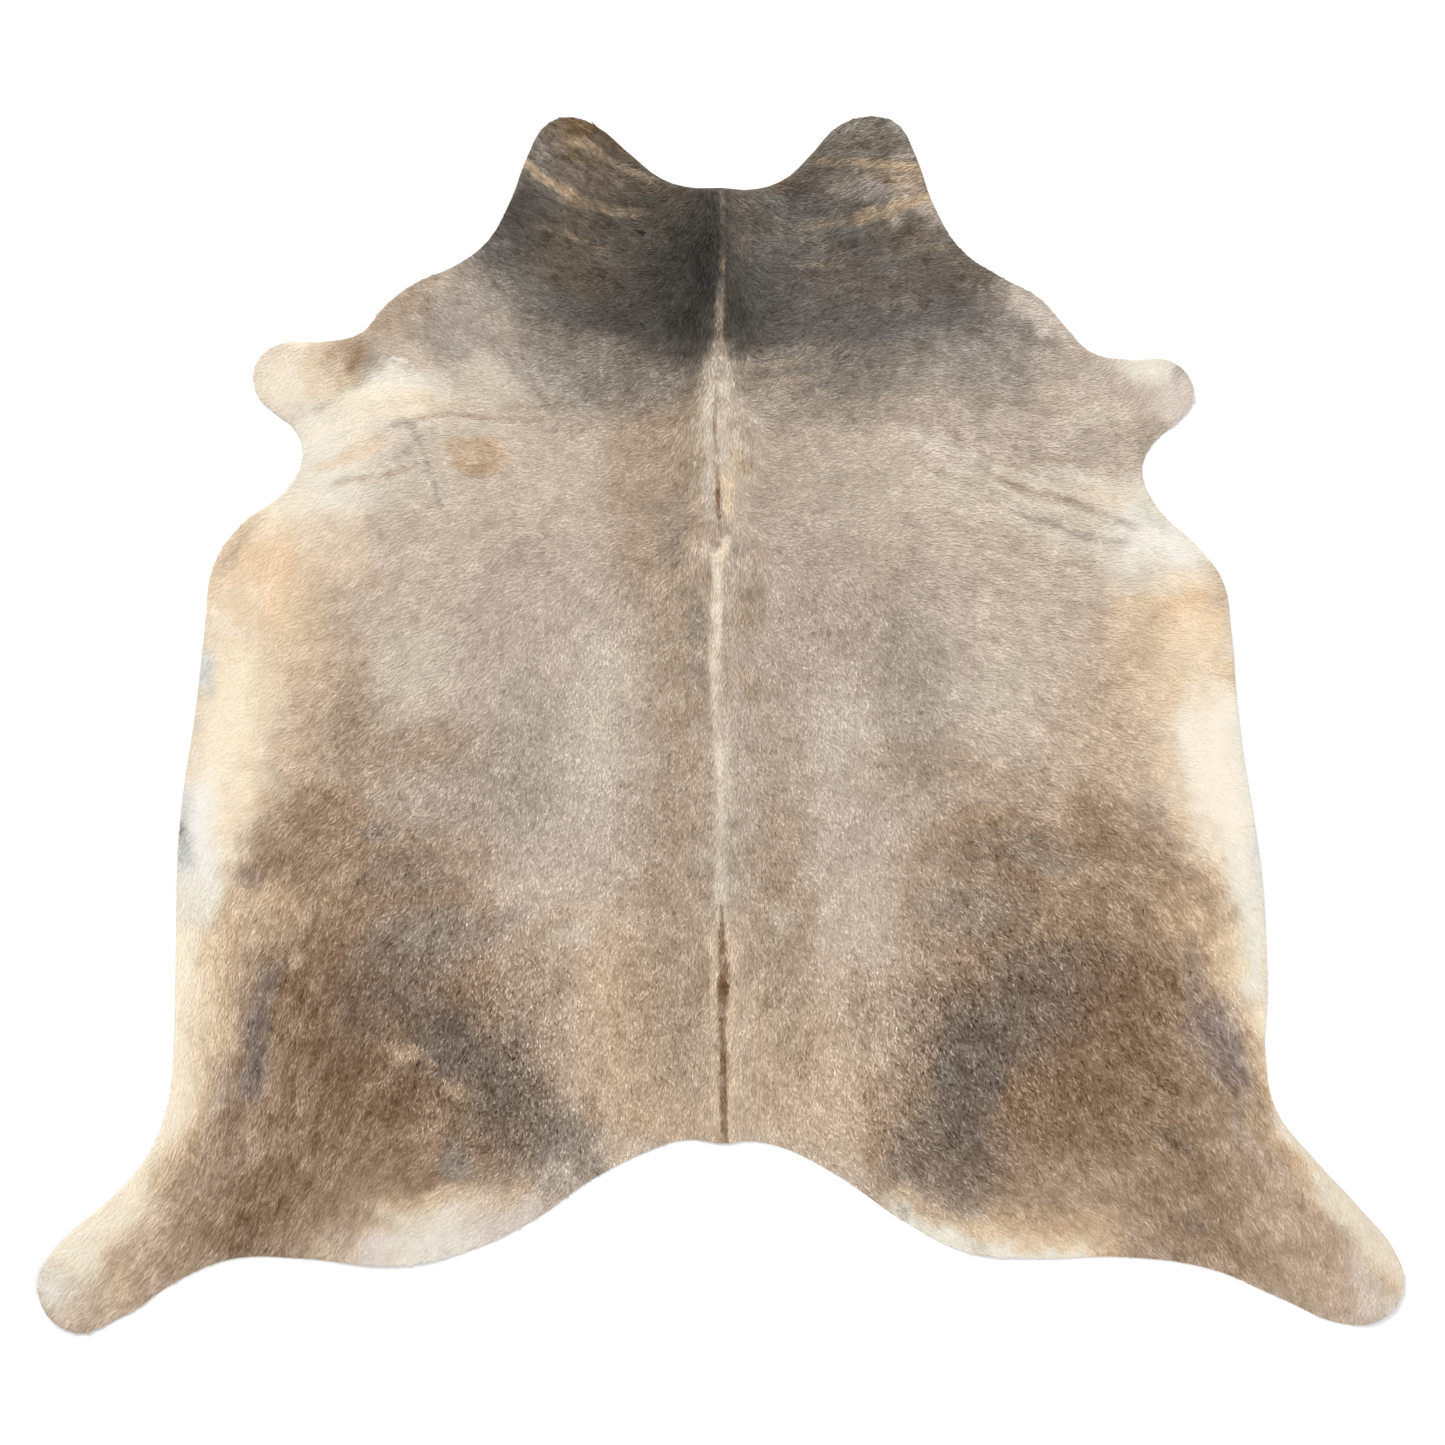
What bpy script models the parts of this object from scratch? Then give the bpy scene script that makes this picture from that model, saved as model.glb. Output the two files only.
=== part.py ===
"""A whole cowhide rug, lying hair side up on the floor.

X runs across the animal, Y along its back with the neck at +Y, and Z up. The
origin is the middle of the outline's box, on the floor. The tables below are in
millimetres as the hide measures, and the mesh is made in metres.
"""

import math

import bmesh
import bpy
from mathutils import Vector
from mathutils.geometry import delaunay_2d_cdt, interpolate_bezier
from mathutils.kdtree import KDTree

MM = 0.001

# Thickness of leather and lying coat together.
CUT_EDGE = 3.0  # at the knife-cut rim
ROLL_RISE = 1.1  # more where the coat rolls up behind the rim
ROLL_REACH = 9.0
BACK_RISE = 1.6  # more over the back than along the belly
BACK_REACH = 380.0

# Spacing of the mesh points: fine near the rippled rim, twice as wide over the flat back.
RIM_STEP = 20.0
FIELD_STEP = 31.0
RIM_BAND = 115.0
LINE_STEP = 24.0
LINE_CLEARANCE = 0.7 * FIELD_STEP
POINT_CLEARANCE = 8.0
CURVE_STEPS = 12

# The cut outline, clockwise from the dip in the neck edge.
# (landmark, x, y)
OUTLINE = [
    ("neck_dip", 0, 885),
    ("neck_dip_right", 51, 882),
    ("neck_scoop_right", 105, 899),
    ("neck_rise_right", 150, 941),
    ("neck_lobe_right_inner", 193, 986),
    ("neck_lobe_right_top", 242, 1001),
    ("neck_lobe_right_outer", 290, 990),
    ("neck_side_right", 320, 940),
    ("neck_waist_right", 351, 856),
    ("neck_base_right", 398, 781),
    ("shoulder_slope_right", 460, 739),
    ("shoulder_turn_right", 526, 702),
    ("shoulder_drop_right", 568, 656),
    ("foreleg_crook_right", 611, 613),
    ("foreleg_top_right", 674, 601),
    ("foreleg_corner_right", 748, 596),
    ("foreleg_tip_right", 779, 545),
    ("foreleg_under_right", 758, 505),
    ("foreleg_heel_right", 712, 463),
    ("armpit_right", 694, 421),
    ("armpit_exit_right", 718, 360),
    ("chest_right", 783, 295),
    ("chest_corner_right", 827, 236),
    ("flank_top_right", 841, 157),
    ("flank_fore_right", 850, 33),
    ("flank_mid_right", 876, -143),
    ("flank_rear_right", 895, -305),
    ("flank_bulge_right", 900, -428),
    ("thigh_tuck_right", 897, -540),
    ("thigh_flare_right", 915, -634),
    ("shank_outer_right", 980, -718),
    ("shank_mid_right", 1055, -799),
    ("shank_toe_outer_right", 1113, -873),
    ("shank_toe_right", 1125, -926),
    ("shank_toe_inner_right", 1086, -982),
    ("shank_under_right", 1023, -987),
    ("shank_inner_right", 926, -947),
    ("thigh_inner_right", 806, -897),
    ("hock_flat_right", 671, -878),
    ("buttock_flat_right", 519, -879),
    ("buttock_right", 406, -870),
    ("rump_slope_right", 301, -818),
    ("rump_upper_right", 187, -740),
    ("rump_top_right", 92, -694),
    ("rump_hump_right", 43, -686),
    ("tail_dip", 5, -691),
    ("rump_hump_left", -55, -684),
    ("rump_top_left", -119, -703),
    ("rump_upper_left", -209, -748),
    ("rump_slope_left", -314, -820),
    ("buttock_left", -420, -869),
    ("buttock_flat_left", -542, -892),
    ("hock_flat_left", -694, -880),
    ("thigh_inner_left", -806, -881),
    ("shank_inner_left", -887, -912),
    ("shank_under_left", -994, -980),
    ("shank_toe_inner_left", -1071, -1001),
    ("shank_toe_left", -1125, -928),
    ("shank_toe_outer_left", -1093, -861),
    ("shank_mid_left", -1010, -786),
    ("shank_outer_left", -953, -723),
    ("thigh_flare_left", -914, -636),
    ("thigh_tuck_left", -901, -527),
    ("flank_bulge_left", -899, -395),
    ("flank_rear_left", -896, -255),
    ("flank_mid_left", -886, -115),
    ("flank_fore_left", -863, 38),
    ("flank_top_left", -850, 157),
    ("chest_corner_left", -836, 261),
    ("chest_left", -788, 331),
    ("armpit_exit_left", -719, 384),
    ("armpit_left", -689, 444),
    ("foreleg_crease_left", -704, 488),
    ("foreleg_heel_left", -734, 512),
    ("foreleg_under_left", -765, 545),
    ("foreleg_tip_left", -765, 595),
    ("foreleg_corner_left", -728, 627),
    ("foreleg_top_left", -655, 631),
    ("foreleg_crook_left", -592, 646),
    ("shoulder_drop_left", -554, 690),
    ("shoulder_turn_left", -503, 728),
    ("shoulder_slope_left", -437, 757),
    ("neck_base_left", -387, 794),
    ("neck_waist_left", -350, 856),
    ("neck_side_left", -318, 938),
    ("neck_lobe_left_outer", -289, 987),
    ("neck_lobe_left_top", -251, 1001),
    ("neck_lobe_left_inner", -205, 986),
    ("neck_rise_left", -150, 941),
    ("neck_scoop_left", -96, 899),
    ("neck_dip_left", -45, 885),
]

# The parting along the backbone, from the neck to the tail.
# (section, x, y, half_width, depth)
BACKBONE = [
    ("neck_edge", 1, 872, 7, 0.5),
    ("nape", 3, 760, 7, 0.6),
    ("withers_front", 0, 610, 8, 0.7),
    ("withers_furrow_start", -6, 545, 9, 1.2),
    ("withers_furrow", -6, 370, 9, 2.0),
    ("withers_furrow_end", -7, 290, 8, 1.0),
    ("back_front", -8, 180, 7, 0.6),
    ("back_middle", -6, -20, 7, 0.6),
    ("back_rear", 0, -180, 7, 0.7),
    ("loin_furrow_start", 0, -300, 9, 1.3),
    ("loin_furrow", 1, -410, 11, 2.2),
    ("croup_furrow", 3, -520, 10, 2.0),
    ("tail_cut", 4, -672, 10, 1.8),
]

# Wrinkles of the loose shoulder skin, each from its inner to its outer end.
# (wrinkle, [(x, y), ...], half_width, depth)
WRINKLES = [
    ("left_shoulder_upper", [(-413, 511), (-497, 506), (-552, 486)], 13, 1.3),
    ("left_shoulder_lower", [(-479, 428), (-560, 411), (-640, 392)], 13, 1.4),
    ("left_shoulder_upright", [(-512, 500), (-487, 437), (-462, 340)], 12, 1.0),
    ("right_shoulder_upper", [(376, 445), (475, 404), (549, 371), (648, 338)], 14, 1.5),
    ("right_shoulder_lower", [(393, 387), (508, 346), (591, 305), (657, 297)], 14, 1.3),
]

# Places where the edge doesn't lie down quite flat.
# (place, x, y, heading in degrees, reach along, reach across, height)
RIPPLES = [
    ("left_neck_lobe", -262, 1010, 0, 120, 95, 5.0),
    ("right_neck_lobe", 262, 1010, 0, 120, 90, 6.0),
    ("left_foreleg_tip", -790, 575, 90, 130, 105, 7.0),
    ("right_foreleg_tip", 800, 545, 90, 130, 100, 6.0),
    ("left_chest", -815, 300, 60, 130, 70, 4.0),
    ("right_chest", 815, 275, 120, 120, 75, 5.0),
    ("left_belly_front", -880, 90, 90, 150, 90, 7.0),
    ("left_belly_rear", -905, -190, 90, 170, 80, 6.0),
    ("right_belly_front", 868, 50, 90, 140, 80, 5.0),
    ("right_belly_rear", 902, -220, 90, 180, 90, 7.0),
    ("left_thigh", -920, -500, 90, 120, 60, 4.0),
    ("right_thigh", 922, -450, 90, 140, 65, 4.0),
    ("left_shank_tip", -1130, -960, 45, 190, 130, 8.0),
    ("right_shank_tip", 1130, -960, 135, 180, 130, 7.0),
    ("left_buttock", -520, -915, 0, 190, 80, 5.0),
    ("right_buttock", 480, -905, 0, 180, 75, 4.0),
    ("tail_edge", 10, -705, 0, 110, 60, 3.0),
]


def clear_scene():
    for thing in list(bpy.data.objects):
        bpy.data.objects.remove(thing, do_unlink=True)


def soft(t):
    """0 to 1 with level ends."""
    t = min(max(t, 0.0), 1.0)
    return t * t * (3.0 - 2.0 * t)


def bell(t):
    """1 at t = 0, falling softly to 0 at t = 1 and beyond."""
    return math.cos(0.5 * math.pi * min(t, 1.0)) ** 2


def smooth_loop(knots):
    """A smooth closed curve through the knots, as a dense list of points."""
    curve = bpy.data.curves.new("outline", "CURVE")
    spline = curve.splines.new("BEZIER")
    spline.bezier_points.add(len(knots) - 1)
    spline.use_cyclic_u = True
    for point, (x, y) in zip(spline.bezier_points, knots):
        point.co = (x, y, 0.0)
    for point in spline.bezier_points:
        point.handle_left_type = "AUTO"
        point.handle_right_type = "AUTO"
    dense = []
    ring = list(spline.bezier_points)
    for start, end in zip(ring, ring[1:] + ring[:1]):
        arc = interpolate_bezier(start.co, start.handle_right, end.handle_left, end.co, CURVE_STEPS)
        dense.extend(Vector((p.x, p.y)) for p in arc[:-1])
    bpy.data.curves.remove(curve)
    return dense


def smooth_line(knots):
    """A smooth open line through the knots (Catmull-Rom), as dense points."""
    pads = [2 * knots[0] - knots[1]] + knots + [2 * knots[-1] - knots[-2]]
    dense = []
    for a, b, c, d in zip(pads, pads[1:], pads[2:], pads[3:]):
        arc = interpolate_bezier(
            b.to_3d(), (b + (c - a) / 6).to_3d(), (c - (d - b) / 6).to_3d(), c.to_3d(), CURVE_STEPS
        )
        dense.extend(p.to_2d() for p in arc[:-1])
    return dense + [knots[-1]]


def evenly(points, step, closed):
    """Points about one step apart along the line."""
    line = points + points[:1] if closed else points
    lengths = [(b - a).length for a, b in zip(line, line[1:])]
    count = max(2, round(sum(lengths) / step))
    spacing = sum(lengths) / count
    placed = []
    walked = 0.0
    for a, b, length in zip(line, line[1:], lengths):
        while len(placed) * spacing <= walked + length and len(placed) < count:
            placed.append(a.lerp(b, (len(placed) * spacing - walked) / length))
        walked += length
    return placed if closed else placed + [line[-1]]


def tree_of(points):
    tree = KDTree(len(points))
    for index, point in enumerate(points):
        tree.insert((point.x, point.y, 0.0), index)
    tree.balance()
    return tree


def inside(point, loop):
    """Whether the point lies inside the closed loop."""
    odd = False
    for a, b in zip(loop, loop[1:] + loop[:1]):
        if (a.y > point.y) != (b.y > point.y):
            odd ^= point.x < a.x + (point.y - a.y) * (b.x - a.x) / (b.y - a.y)
    return odd


def backbone_line():
    """The parting as points (x, y) with their half width and depth."""
    knots = [Vector((x, y)) for _, x, y, _, _ in BACKBONE]
    line = evenly(smooth_line(knots), LINE_STEP, closed=False)
    marks = []
    for point in line:
        upper = max(0, sum(point.y < knot.y for knot in knots) - 1)
        lower = min(upper + 1, len(knots) - 1)
        share = (knots[upper].y - point.y) / max(knots[upper].y - knots[lower].y, 1.0)
        width = BACKBONE[upper][3] + share * (BACKBONE[lower][3] - BACKBONE[upper][3])
        depth = BACKBONE[upper][4] + share * (BACKBONE[lower][4] - BACKBONE[upper][4])
        marks.append((point, width, depth))
    return marks


def wrinkle_line(knots, half_width, depth):
    """A wrinkle as points with their half width and depth, fading out at both ends."""
    line = evenly(smooth_line([Vector(knot) for knot in knots]), LINE_STEP, closed=False)
    last = len(line) - 1
    return [(point, half_width, depth * math.sin(math.pi * (i + 0.5) / (last + 1))) for i, point in enumerate(line)]


def all_lines():
    return [backbone_line()] + [wrinkle_line(knots, width, depth) for _, knots, width, depth in WRINKLES]


def banked(line):
    """The points of a furrow's floor and of its two banks."""
    points = []
    for i, (point, half_width, _) in enumerate(line):
        along = line[min(i + 1, len(line) - 1)][0] - line[max(i - 1, 0)][0]
        across = Vector((-along.y, along.x)).normalized() * half_width
        points += [point, point + across, point - across]
    return points


def plan_points(rim, lines):
    """The rim first, then the furrows, then an even field of points between them."""
    near_rim = tree_of(rim)
    points = list(rim)
    for line in lines:
        for point in banked(line):
            clear = tree_of(points).find((point.x, point.y, 0.0))[2]
            if clear > POINT_CLEARANCE and inside(point, rim):
                points.append(point)
    near_line = tree_of(points[len(rim):])
    left, low = min(point.x for point in rim), min(point.y for point in rim)
    right, high = max(point.x for point in rim), max(point.y for point in rim)
    row_step = FIELD_STEP * math.sqrt(3) / 2
    for row in range(int((high - low) / row_step)):
        for column in range(int((right - left) / FIELD_STEP)):
            across = column + 0.5 * (row % 2)
            point = Vector((left + across * FIELD_STEP, low + row * row_step))
            place = (point.x, point.y, 0.0)
            from_rim = near_rim.find(place)[2]
            coarse = row % 2 == 0 and (column + row // 2) % 2 == 0
            if from_rim < ROLL_REACH + 0.5 * FIELD_STEP or (from_rim > RIM_BAND and not coarse):
                continue
            if near_line.find(place)[2] > LINE_CLEARANCE and inside(point, rim):
                points.append(point)
    return points


def lift(x, y):
    """How far the underside is off the floor."""
    height = 0.0
    for _, ripple_x, ripple_y, heading, reach_along, reach_across, rise in RIPPLES:
        turn = math.radians(heading)
        along = (x - ripple_x) * math.cos(turn) + (y - ripple_y) * math.sin(turn)
        across = (y - ripple_y) * math.cos(turn) - (x - ripple_x) * math.sin(turn)
        height = max(height, rise * bell(math.hypot(along / reach_along, across / reach_across)))
    return height


def furrow_depth(point, lines):
    """How deep the nearest furrow is here."""
    depth = 0.0
    for line in lines:
        for (a, width_a, depth_a), (b, width_b, depth_b) in zip(line, line[1:]):
            run = b - a
            share = min(max((point - a).dot(run) / run.length_squared, 0.0), 1.0)
            width = width_a + share * (width_b - width_a)
            away = (point - a.lerp(b, share)).length
            depth = max(depth, (depth_a + share * (depth_b - depth_a)) * bell(away / width))
    return depth


def make_hide():
    knots = [(x, y) for _, x, y in OUTLINE]
    rim = evenly(smooth_loop(knots), RIM_STEP, closed=True)
    lines = all_lines()
    points = plan_points(rim, lines)
    places, _, triangles, *_ = delaunay_2d_cdt(points, [], [list(range(len(rim)))], 1, 1e-4)

    plan = bmesh.new()
    corners = [plan.verts.new((place.x, place.y, 0.0)) for place in places]
    for triangle in triangles:
        plan.faces.new([corners[i] for i in triangle])
    raised = bmesh.ops.extrude_face_region(plan, geom=plan.faces[:], use_keep_orig=True)["geom"]
    top_faces = [part for part in raised if isinstance(part, bmesh.types.BMFace)]
    top_corners = [part for part in raised if isinstance(part, bmesh.types.BMVert)]
    bmesh.ops.translate(plan, vec=(0, 0, CUT_EDGE), verts=top_corners)
    bmesh.ops.inset_region(plan, faces=top_faces, thickness=ROLL_REACH, use_even_offset=True)
    bmesh.ops.recalc_face_normals(plan, faces=plan.faces[:])

    near_rim = tree_of(evenly(rim, 2.0, closed=True))
    middle_x = 0.5 * (max(p.x for p in rim) + min(p.x for p in rim))
    middle_y = 0.5 * (max(p.y for p in rim) + min(p.y for p in rim))
    for corner in plan.verts:
        x, y, is_top = corner.co.x, corner.co.y, corner.co.z > 0.0
        height = lift(x, y)
        if is_top:
            from_rim = near_rim.find((x, y, 0.0))[2]
            coat = CUT_EDGE + ROLL_RISE * soft(from_rim / ROLL_REACH) + BACK_RISE * soft(from_rim / BACK_REACH)
            height += coat - furrow_depth(Vector((x, y)), lines)
        corner.co = (MM * (x - middle_x), MM * (y - middle_y), MM * height)

    mesh = bpy.data.meshes.new("hide")
    plan.to_mesh(mesh)
    plan.free()
    mesh.shade_smooth()
    mesh.set_sharp_from_angle(angle=math.radians(50))
    hide = bpy.data.objects.new("hide", mesh)
    bpy.context.scene.collection.objects.link(hide)
    return hide


def coat_material():
    """Short taupe hair, the mean colour of the coat."""
    material = bpy.data.materials.new("brindle_coat")
    material.use_nodes = True
    shader = material.node_tree.nodes["Principled BSDF"]
    shader.inputs["Base Color"].default_value = (0.29, 0.235, 0.175, 1.0)
    shader.inputs["Roughness"].default_value = 0.75
    shader.inputs["Metallic"].default_value = 0.0
    return material


clear_scene()
make_hide().data.materials.append(coat_material())
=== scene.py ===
# %% [markdown]
# # A brindle cowhide rug
#
# The rug is one tanned hide, about 2.25 m wide and 2 m long, that lies flat on the floor with
# its hair up. The neck is at +Y, the tail at -Y, and the floor at Z = 0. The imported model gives
# the hide as one plain solid that already has its outline, its waves and its main creases.
#
# This script dresses that solid: a leather sheet that follows it, a coat of short hair on the
# sheet, the colours of the coat, and a floor, lights and a camera to see them by.

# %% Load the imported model
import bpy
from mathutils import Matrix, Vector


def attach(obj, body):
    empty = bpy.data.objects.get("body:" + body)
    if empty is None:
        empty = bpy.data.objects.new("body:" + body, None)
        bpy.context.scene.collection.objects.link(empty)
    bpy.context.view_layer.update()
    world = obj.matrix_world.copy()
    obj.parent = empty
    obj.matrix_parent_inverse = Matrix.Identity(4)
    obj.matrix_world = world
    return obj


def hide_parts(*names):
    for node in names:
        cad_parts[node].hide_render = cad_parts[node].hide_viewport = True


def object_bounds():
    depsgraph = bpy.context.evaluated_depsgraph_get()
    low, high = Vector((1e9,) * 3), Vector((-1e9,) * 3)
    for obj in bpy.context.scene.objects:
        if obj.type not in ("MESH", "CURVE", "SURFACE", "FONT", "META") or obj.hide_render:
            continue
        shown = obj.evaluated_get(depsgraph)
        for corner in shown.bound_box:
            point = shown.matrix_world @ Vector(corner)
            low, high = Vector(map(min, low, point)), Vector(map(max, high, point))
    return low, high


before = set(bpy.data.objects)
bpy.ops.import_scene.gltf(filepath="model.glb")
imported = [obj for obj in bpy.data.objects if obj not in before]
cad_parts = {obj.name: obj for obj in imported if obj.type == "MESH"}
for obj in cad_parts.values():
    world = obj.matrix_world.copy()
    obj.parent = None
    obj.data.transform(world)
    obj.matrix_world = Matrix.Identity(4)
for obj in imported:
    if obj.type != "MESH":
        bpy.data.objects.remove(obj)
cad_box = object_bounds()
print("packed model:", [[round(v, 4) for v in corner] for corner in cad_box])

# %% Tools that the lesson uses
import math
import bmesh
import bpy
import numpy as np
from mathutils import Vector
from mathutils.bvhtree import BVHTree
from mathutils.kdtree import KDTree

MM = 0.001
TINY = 1e-9  # keeps a division away from zero


def ease(t):
    """0 up to t = 0, 1 from t = 1, and a soft start and end between them."""
    t = np.clip(t, 0.0, 1.0)
    return t * t * (3.0 - 2.0 * t)


# %% [markdown]
# ## The camera
#
# The hide was seen from straight above. A long lens from far away keeps its edges true, and the
# square frame shows 2.38 m of floor. The distance follows from the lens: a frame of that width
# fills the sensor at width times focal length over sensor width.

# %% Place the camera
VIEW_WIDTH = 2.3815
VIEW_CENTRE = (0.0023, 0.0044)
FOCAL_LENGTH = 85.0
SENSOR = 36.0
COAT_HEIGHT = 0.005

camera_data = bpy.data.cameras.new("camera")
camera_data.lens = FOCAL_LENGTH
camera_data.sensor_width = SENSOR
camera = bpy.data.objects.new("camera", camera_data)
camera_height = COAT_HEIGHT + VIEW_WIDTH * FOCAL_LENGTH / SENSOR
camera.location = (*VIEW_CENTRE, camera_height)
bpy.context.collection.objects.link(camera)
bpy.context.scene.camera = camera
print("camera height:", round(camera_height, 3), "m")

# %% [markdown]
# ## The leather sheet
#
# Under the hair is one sheet of leather, 2 to 4 mm thick. A plane could be cut to the outline
# again, but the solid already has the right outline and waves, so the sheet starts as a copy of
# it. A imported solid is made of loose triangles, and its corners are merged first.
#
# The solid reaches to the tips of the hair. The copy's upper side is lowered by the depth of
# the hair, which is thin at the cut edge and full a hand's width inside it.

# %% Copy the solid and merge its corners
MERGE_REACH = 0.05 * MM
UP, DOWN = 0.4, -0.4  # how steep a face of the hair side or of the flesh side may be
HAIR, CUT, FLESH = 0, 1, 2  # the places of the sheet's three materials

sheet_mesh = bmesh.new()
sheet_mesh.from_mesh(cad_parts["hide"].data)
bmesh.ops.remove_doubles(sheet_mesh, verts=sheet_mesh.verts, dist=MERGE_REACH)
sheet_mesh.normal_update()


def side_of(face):
    """Hair side, flesh side, or the cut edge between them."""
    return HAIR if face.normal.z > UP else FLESH if face.normal.z < DOWN else CUT


for face in sheet_mesh.faces:
    face.material_index = side_of(face)
rim = [v for v in sheet_mesh.verts if len({f.material_index for f in v.link_faces}) > 1]
print(len(sheet_mesh.verts), "corners,", len(rim), "of them on the rim")

# %% Make the mesh finer
# Each triangle becomes sixteen, so the creases below have something to bend.
EDGE_CUTS = 3

bmesh.ops.subdivide_edges(sheet_mesh, edges=sheet_mesh.edges, cuts=EDGE_CUTS, use_grid_fill=True)
sheet_mesh.verts.ensure_lookup_table()
print(len(sheet_mesh.faces), "faces,", sum(len(f.verts) - 2 for f in sheet_mesh.faces), "triangles")

# %% Round off the facets
# Only the height of the points inside the rim is smoothed, so the outline stays as it is.
ROUNDING_STEPS = 8
ROUNDING = 0.5

for side in (HAIR, FLESH):
    inner = [v for v in sheet_mesh.verts if all(f.material_index == side for f in v.link_faces)]
    for _ in range(ROUNDING_STEPS):
        bmesh.ops.smooth_vert(sheet_mesh, verts=inner, factor=ROUNDING, use_axis_z=True)
print("rounded")

# %% Find how far each point is from the cut edge
EDGE_STEP = 1.0 * MM

edge_points = []
for edge in sheet_mesh.edges:
    if {f.material_index for f in edge.link_faces} == {HAIR, CUT}:
        start, end = (v.co for v in edge.verts)
        steps = math.ceil(edge.calc_length() / EDGE_STEP)
        edge_points += [start.lerp(end, step / steps) for step in range(steps + 1)]
edge_tree = KDTree(len(edge_points))
for number, point in enumerate(edge_points):
    edge_tree.insert((point.x, point.y, 0.0), number)
edge_tree.balance()


def to_edge(x, y):
    """The nearest point of the cut edge and its distance, in metres."""
    place, _, distance = edge_tree.find((x, y, 0.0))
    return place, distance


# %% Lower the hair side
HAIR_AT_EDGE = 0.7 * MM
HAIR_INSIDE = 1.8 * MM
HAIR_GROWS_OVER = 60 * MM

for v in sheet_mesh.verts:
    if any(f.material_index == HAIR for f in v.link_faces):
        _, distance = to_edge(v.co.x, v.co.y)
        grown = float(ease(distance / HAIR_GROWS_OVER))
        v.co.z -= HAIR_AT_EDGE + (HAIR_INSIDE - HAIR_AT_EDGE) * grown
print("hair side lowered by", HAIR_AT_EDGE / MM, "to", HAIR_INSIDE / MM, "mm")

# %% [markdown]
# ## Fine creases
#
# The solid has the deep creases of the shoulders and the back. Skin that was folded in life also
# has fine lines: they run in bundles over the shoulders and across the neck. Sculpting would
# work, but a table of short lines is easier to change: each line is a soft trough along a few
# points, given in millimetres, with its half width and its depth.

# %% Press the fine creases into the sheet
TROUGH_REACH = 1.6  # how far a trough's slopes reach, in half widths

# (line, half_width, depth)
FINE_CREASES = [
    # right shoulder
    ([(440, 372), (520, 352), (600, 322), (650, 305)], 7, 0.5),
    ([(470, 330), (560, 298), (640, 268), (700, 252)], 7, 0.5),
    ([(430, 460), (500, 438), (580, 408), (650, 385)], 7, 0.5),
    ([(520, 285), (600, 262), (690, 228)], 6, 0.4),
    # left shoulder
    ([(-430, 480), (-500, 474), (-570, 455)], 7, 0.5),
    ([(-450, 395), (-530, 383), (-610, 362), (-680, 345)], 7, 0.5),
    ([(-440, 352), (-520, 338), (-600, 322)], 6, 0.4),
    ([(-440, 520), (-520, 532), (-600, 520)], 7, 0.4),
    # right side of the neck
    ([(130, 815), (200, 830), (250, 843), (300, 860), (345, 865)], 9, 0.7),
    ([(170, 935), (230, 925), (280, 925), (320, 920)], 9, 0.7),
    ([(100, 750), (200, 765), (250, 765), (330, 780)], 8, 0.5),
    # left side of the neck
    ([(-330, 920), (-300, 900), (-240, 875), (-170, 845)], 9, 0.7),
    ([(-240, 945), (-200, 935), (-130, 905)], 8, 0.6),
    ([(-300, 815), (-240, 795), (-190, 780)], 8, 0.5),
]


def distance_to(x, y, points, closed=False):
    """How far the places x, y are from a line through the points."""
    nearest = np.full(len(x), np.inf)
    ends = points[1:] + points[:1] if closed else points[1:]
    for (ax, ay), (bx, by) in zip(points, ends):
        dx, dy = bx - ax, by - ay
        share = ((x - ax) * dx + (y - ay) * dy) / max(dx * dx + dy * dy, TINY)
        share = np.clip(share, 0.0, 1.0)
        nearest = np.minimum(nearest, np.hypot(x - ax - share * dx, y - ay - share * dy))
    return nearest


hair_side = [v for v in sheet_mesh.verts if all(f.material_index == HAIR for f in v.link_faces)]
place_x = np.array([v.co.x for v in hair_side]) / MM
place_y = np.array([v.co.y for v in hair_side]) / MM
pressed = np.zeros(len(hair_side))
for line, half_width, depth in FINE_CREASES:
    away = distance_to(place_x, place_y, line) / (TROUGH_REACH * half_width)
    pressed += depth * ease(1.0 - away)
for v, depth in zip(hair_side, pressed):
    v.co.z -= depth * MM
print(len(FINE_CREASES), "fine creases, up to", round(float(pressed.max()), 2), "mm deep")

# %% [markdown]
# ## The colours of the coat
#
# A brindle coat has no pattern that repeats: dark hair over the neck, grey-brown haunches, a pale
# belly, and soft marks everywhere. A noise texture alone would give any cow. Here each mark is a
# row of its own, in millimetres from the middle of the hide, in layers as a painter would: first
# wide zones, then spots, then streaks. Each one names a colour of the palette and how strongly
# it covers what lies under it. Along the wrinkles of the shoulders and the folds in front of the
# withers, some streaks are painted shade in the creases and painted highlights on the ridges.
#
# The rows were typed one by one. The first came from looking at the photo with a ruler over it.
# Later ones came from comparisons, which printed where the softened photo and the painted coat
# differed, and by how much in each tone. The palette was set from the photo's softened tones too.
#
# The colours end up as an attribute on the mesh, which the materials read.

# %% The palette
# Red, green and blue as on a screen, from 0 to 255.
PALETTE = {
    "charcoal": (50, 48, 44), "soot": (64, 61, 56), "graphite": (80, 75, 68), "slate": (99, 95, 89),
    "olive": (94, 86, 75), "peat": (108, 98, 86), "gold_brown": (128, 107, 80), "ash": (130, 121, 111),
    "dove": (156, 147, 138), "taupe": (173, 158, 142), "mushroom": (187, 173, 159),
    "sand": (198, 182, 165), "oat": (210, 197, 180), "bone": (226, 216, 200), "cream": (250, 237, 213),
    "ivory": (238, 232, 217), "honey": (234, 206, 172), "buff": (222, 200, 170), "camel": (197, 170, 140),
    "fawn": (170, 151, 130), "biscuit": (183, 157, 133), "hazel": (156, 131, 106),
    "cocoa": (138, 114, 91), "rust": (124, 99, 77), "burnt": (117, 103, 91), "plum": (136, 122, 116),
    "mist": (210, 210, 205), "rose": (222, 209, 198), "tan": (171, 149, 124), "umber": (116, 88, 66),
    "milk": (247, 241, 231), "shell": (232, 219, 199), "smoke": (107, 96, 88), "butter": (249, 233, 205),
    "pearl": (250, 238, 219),
}


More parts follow.
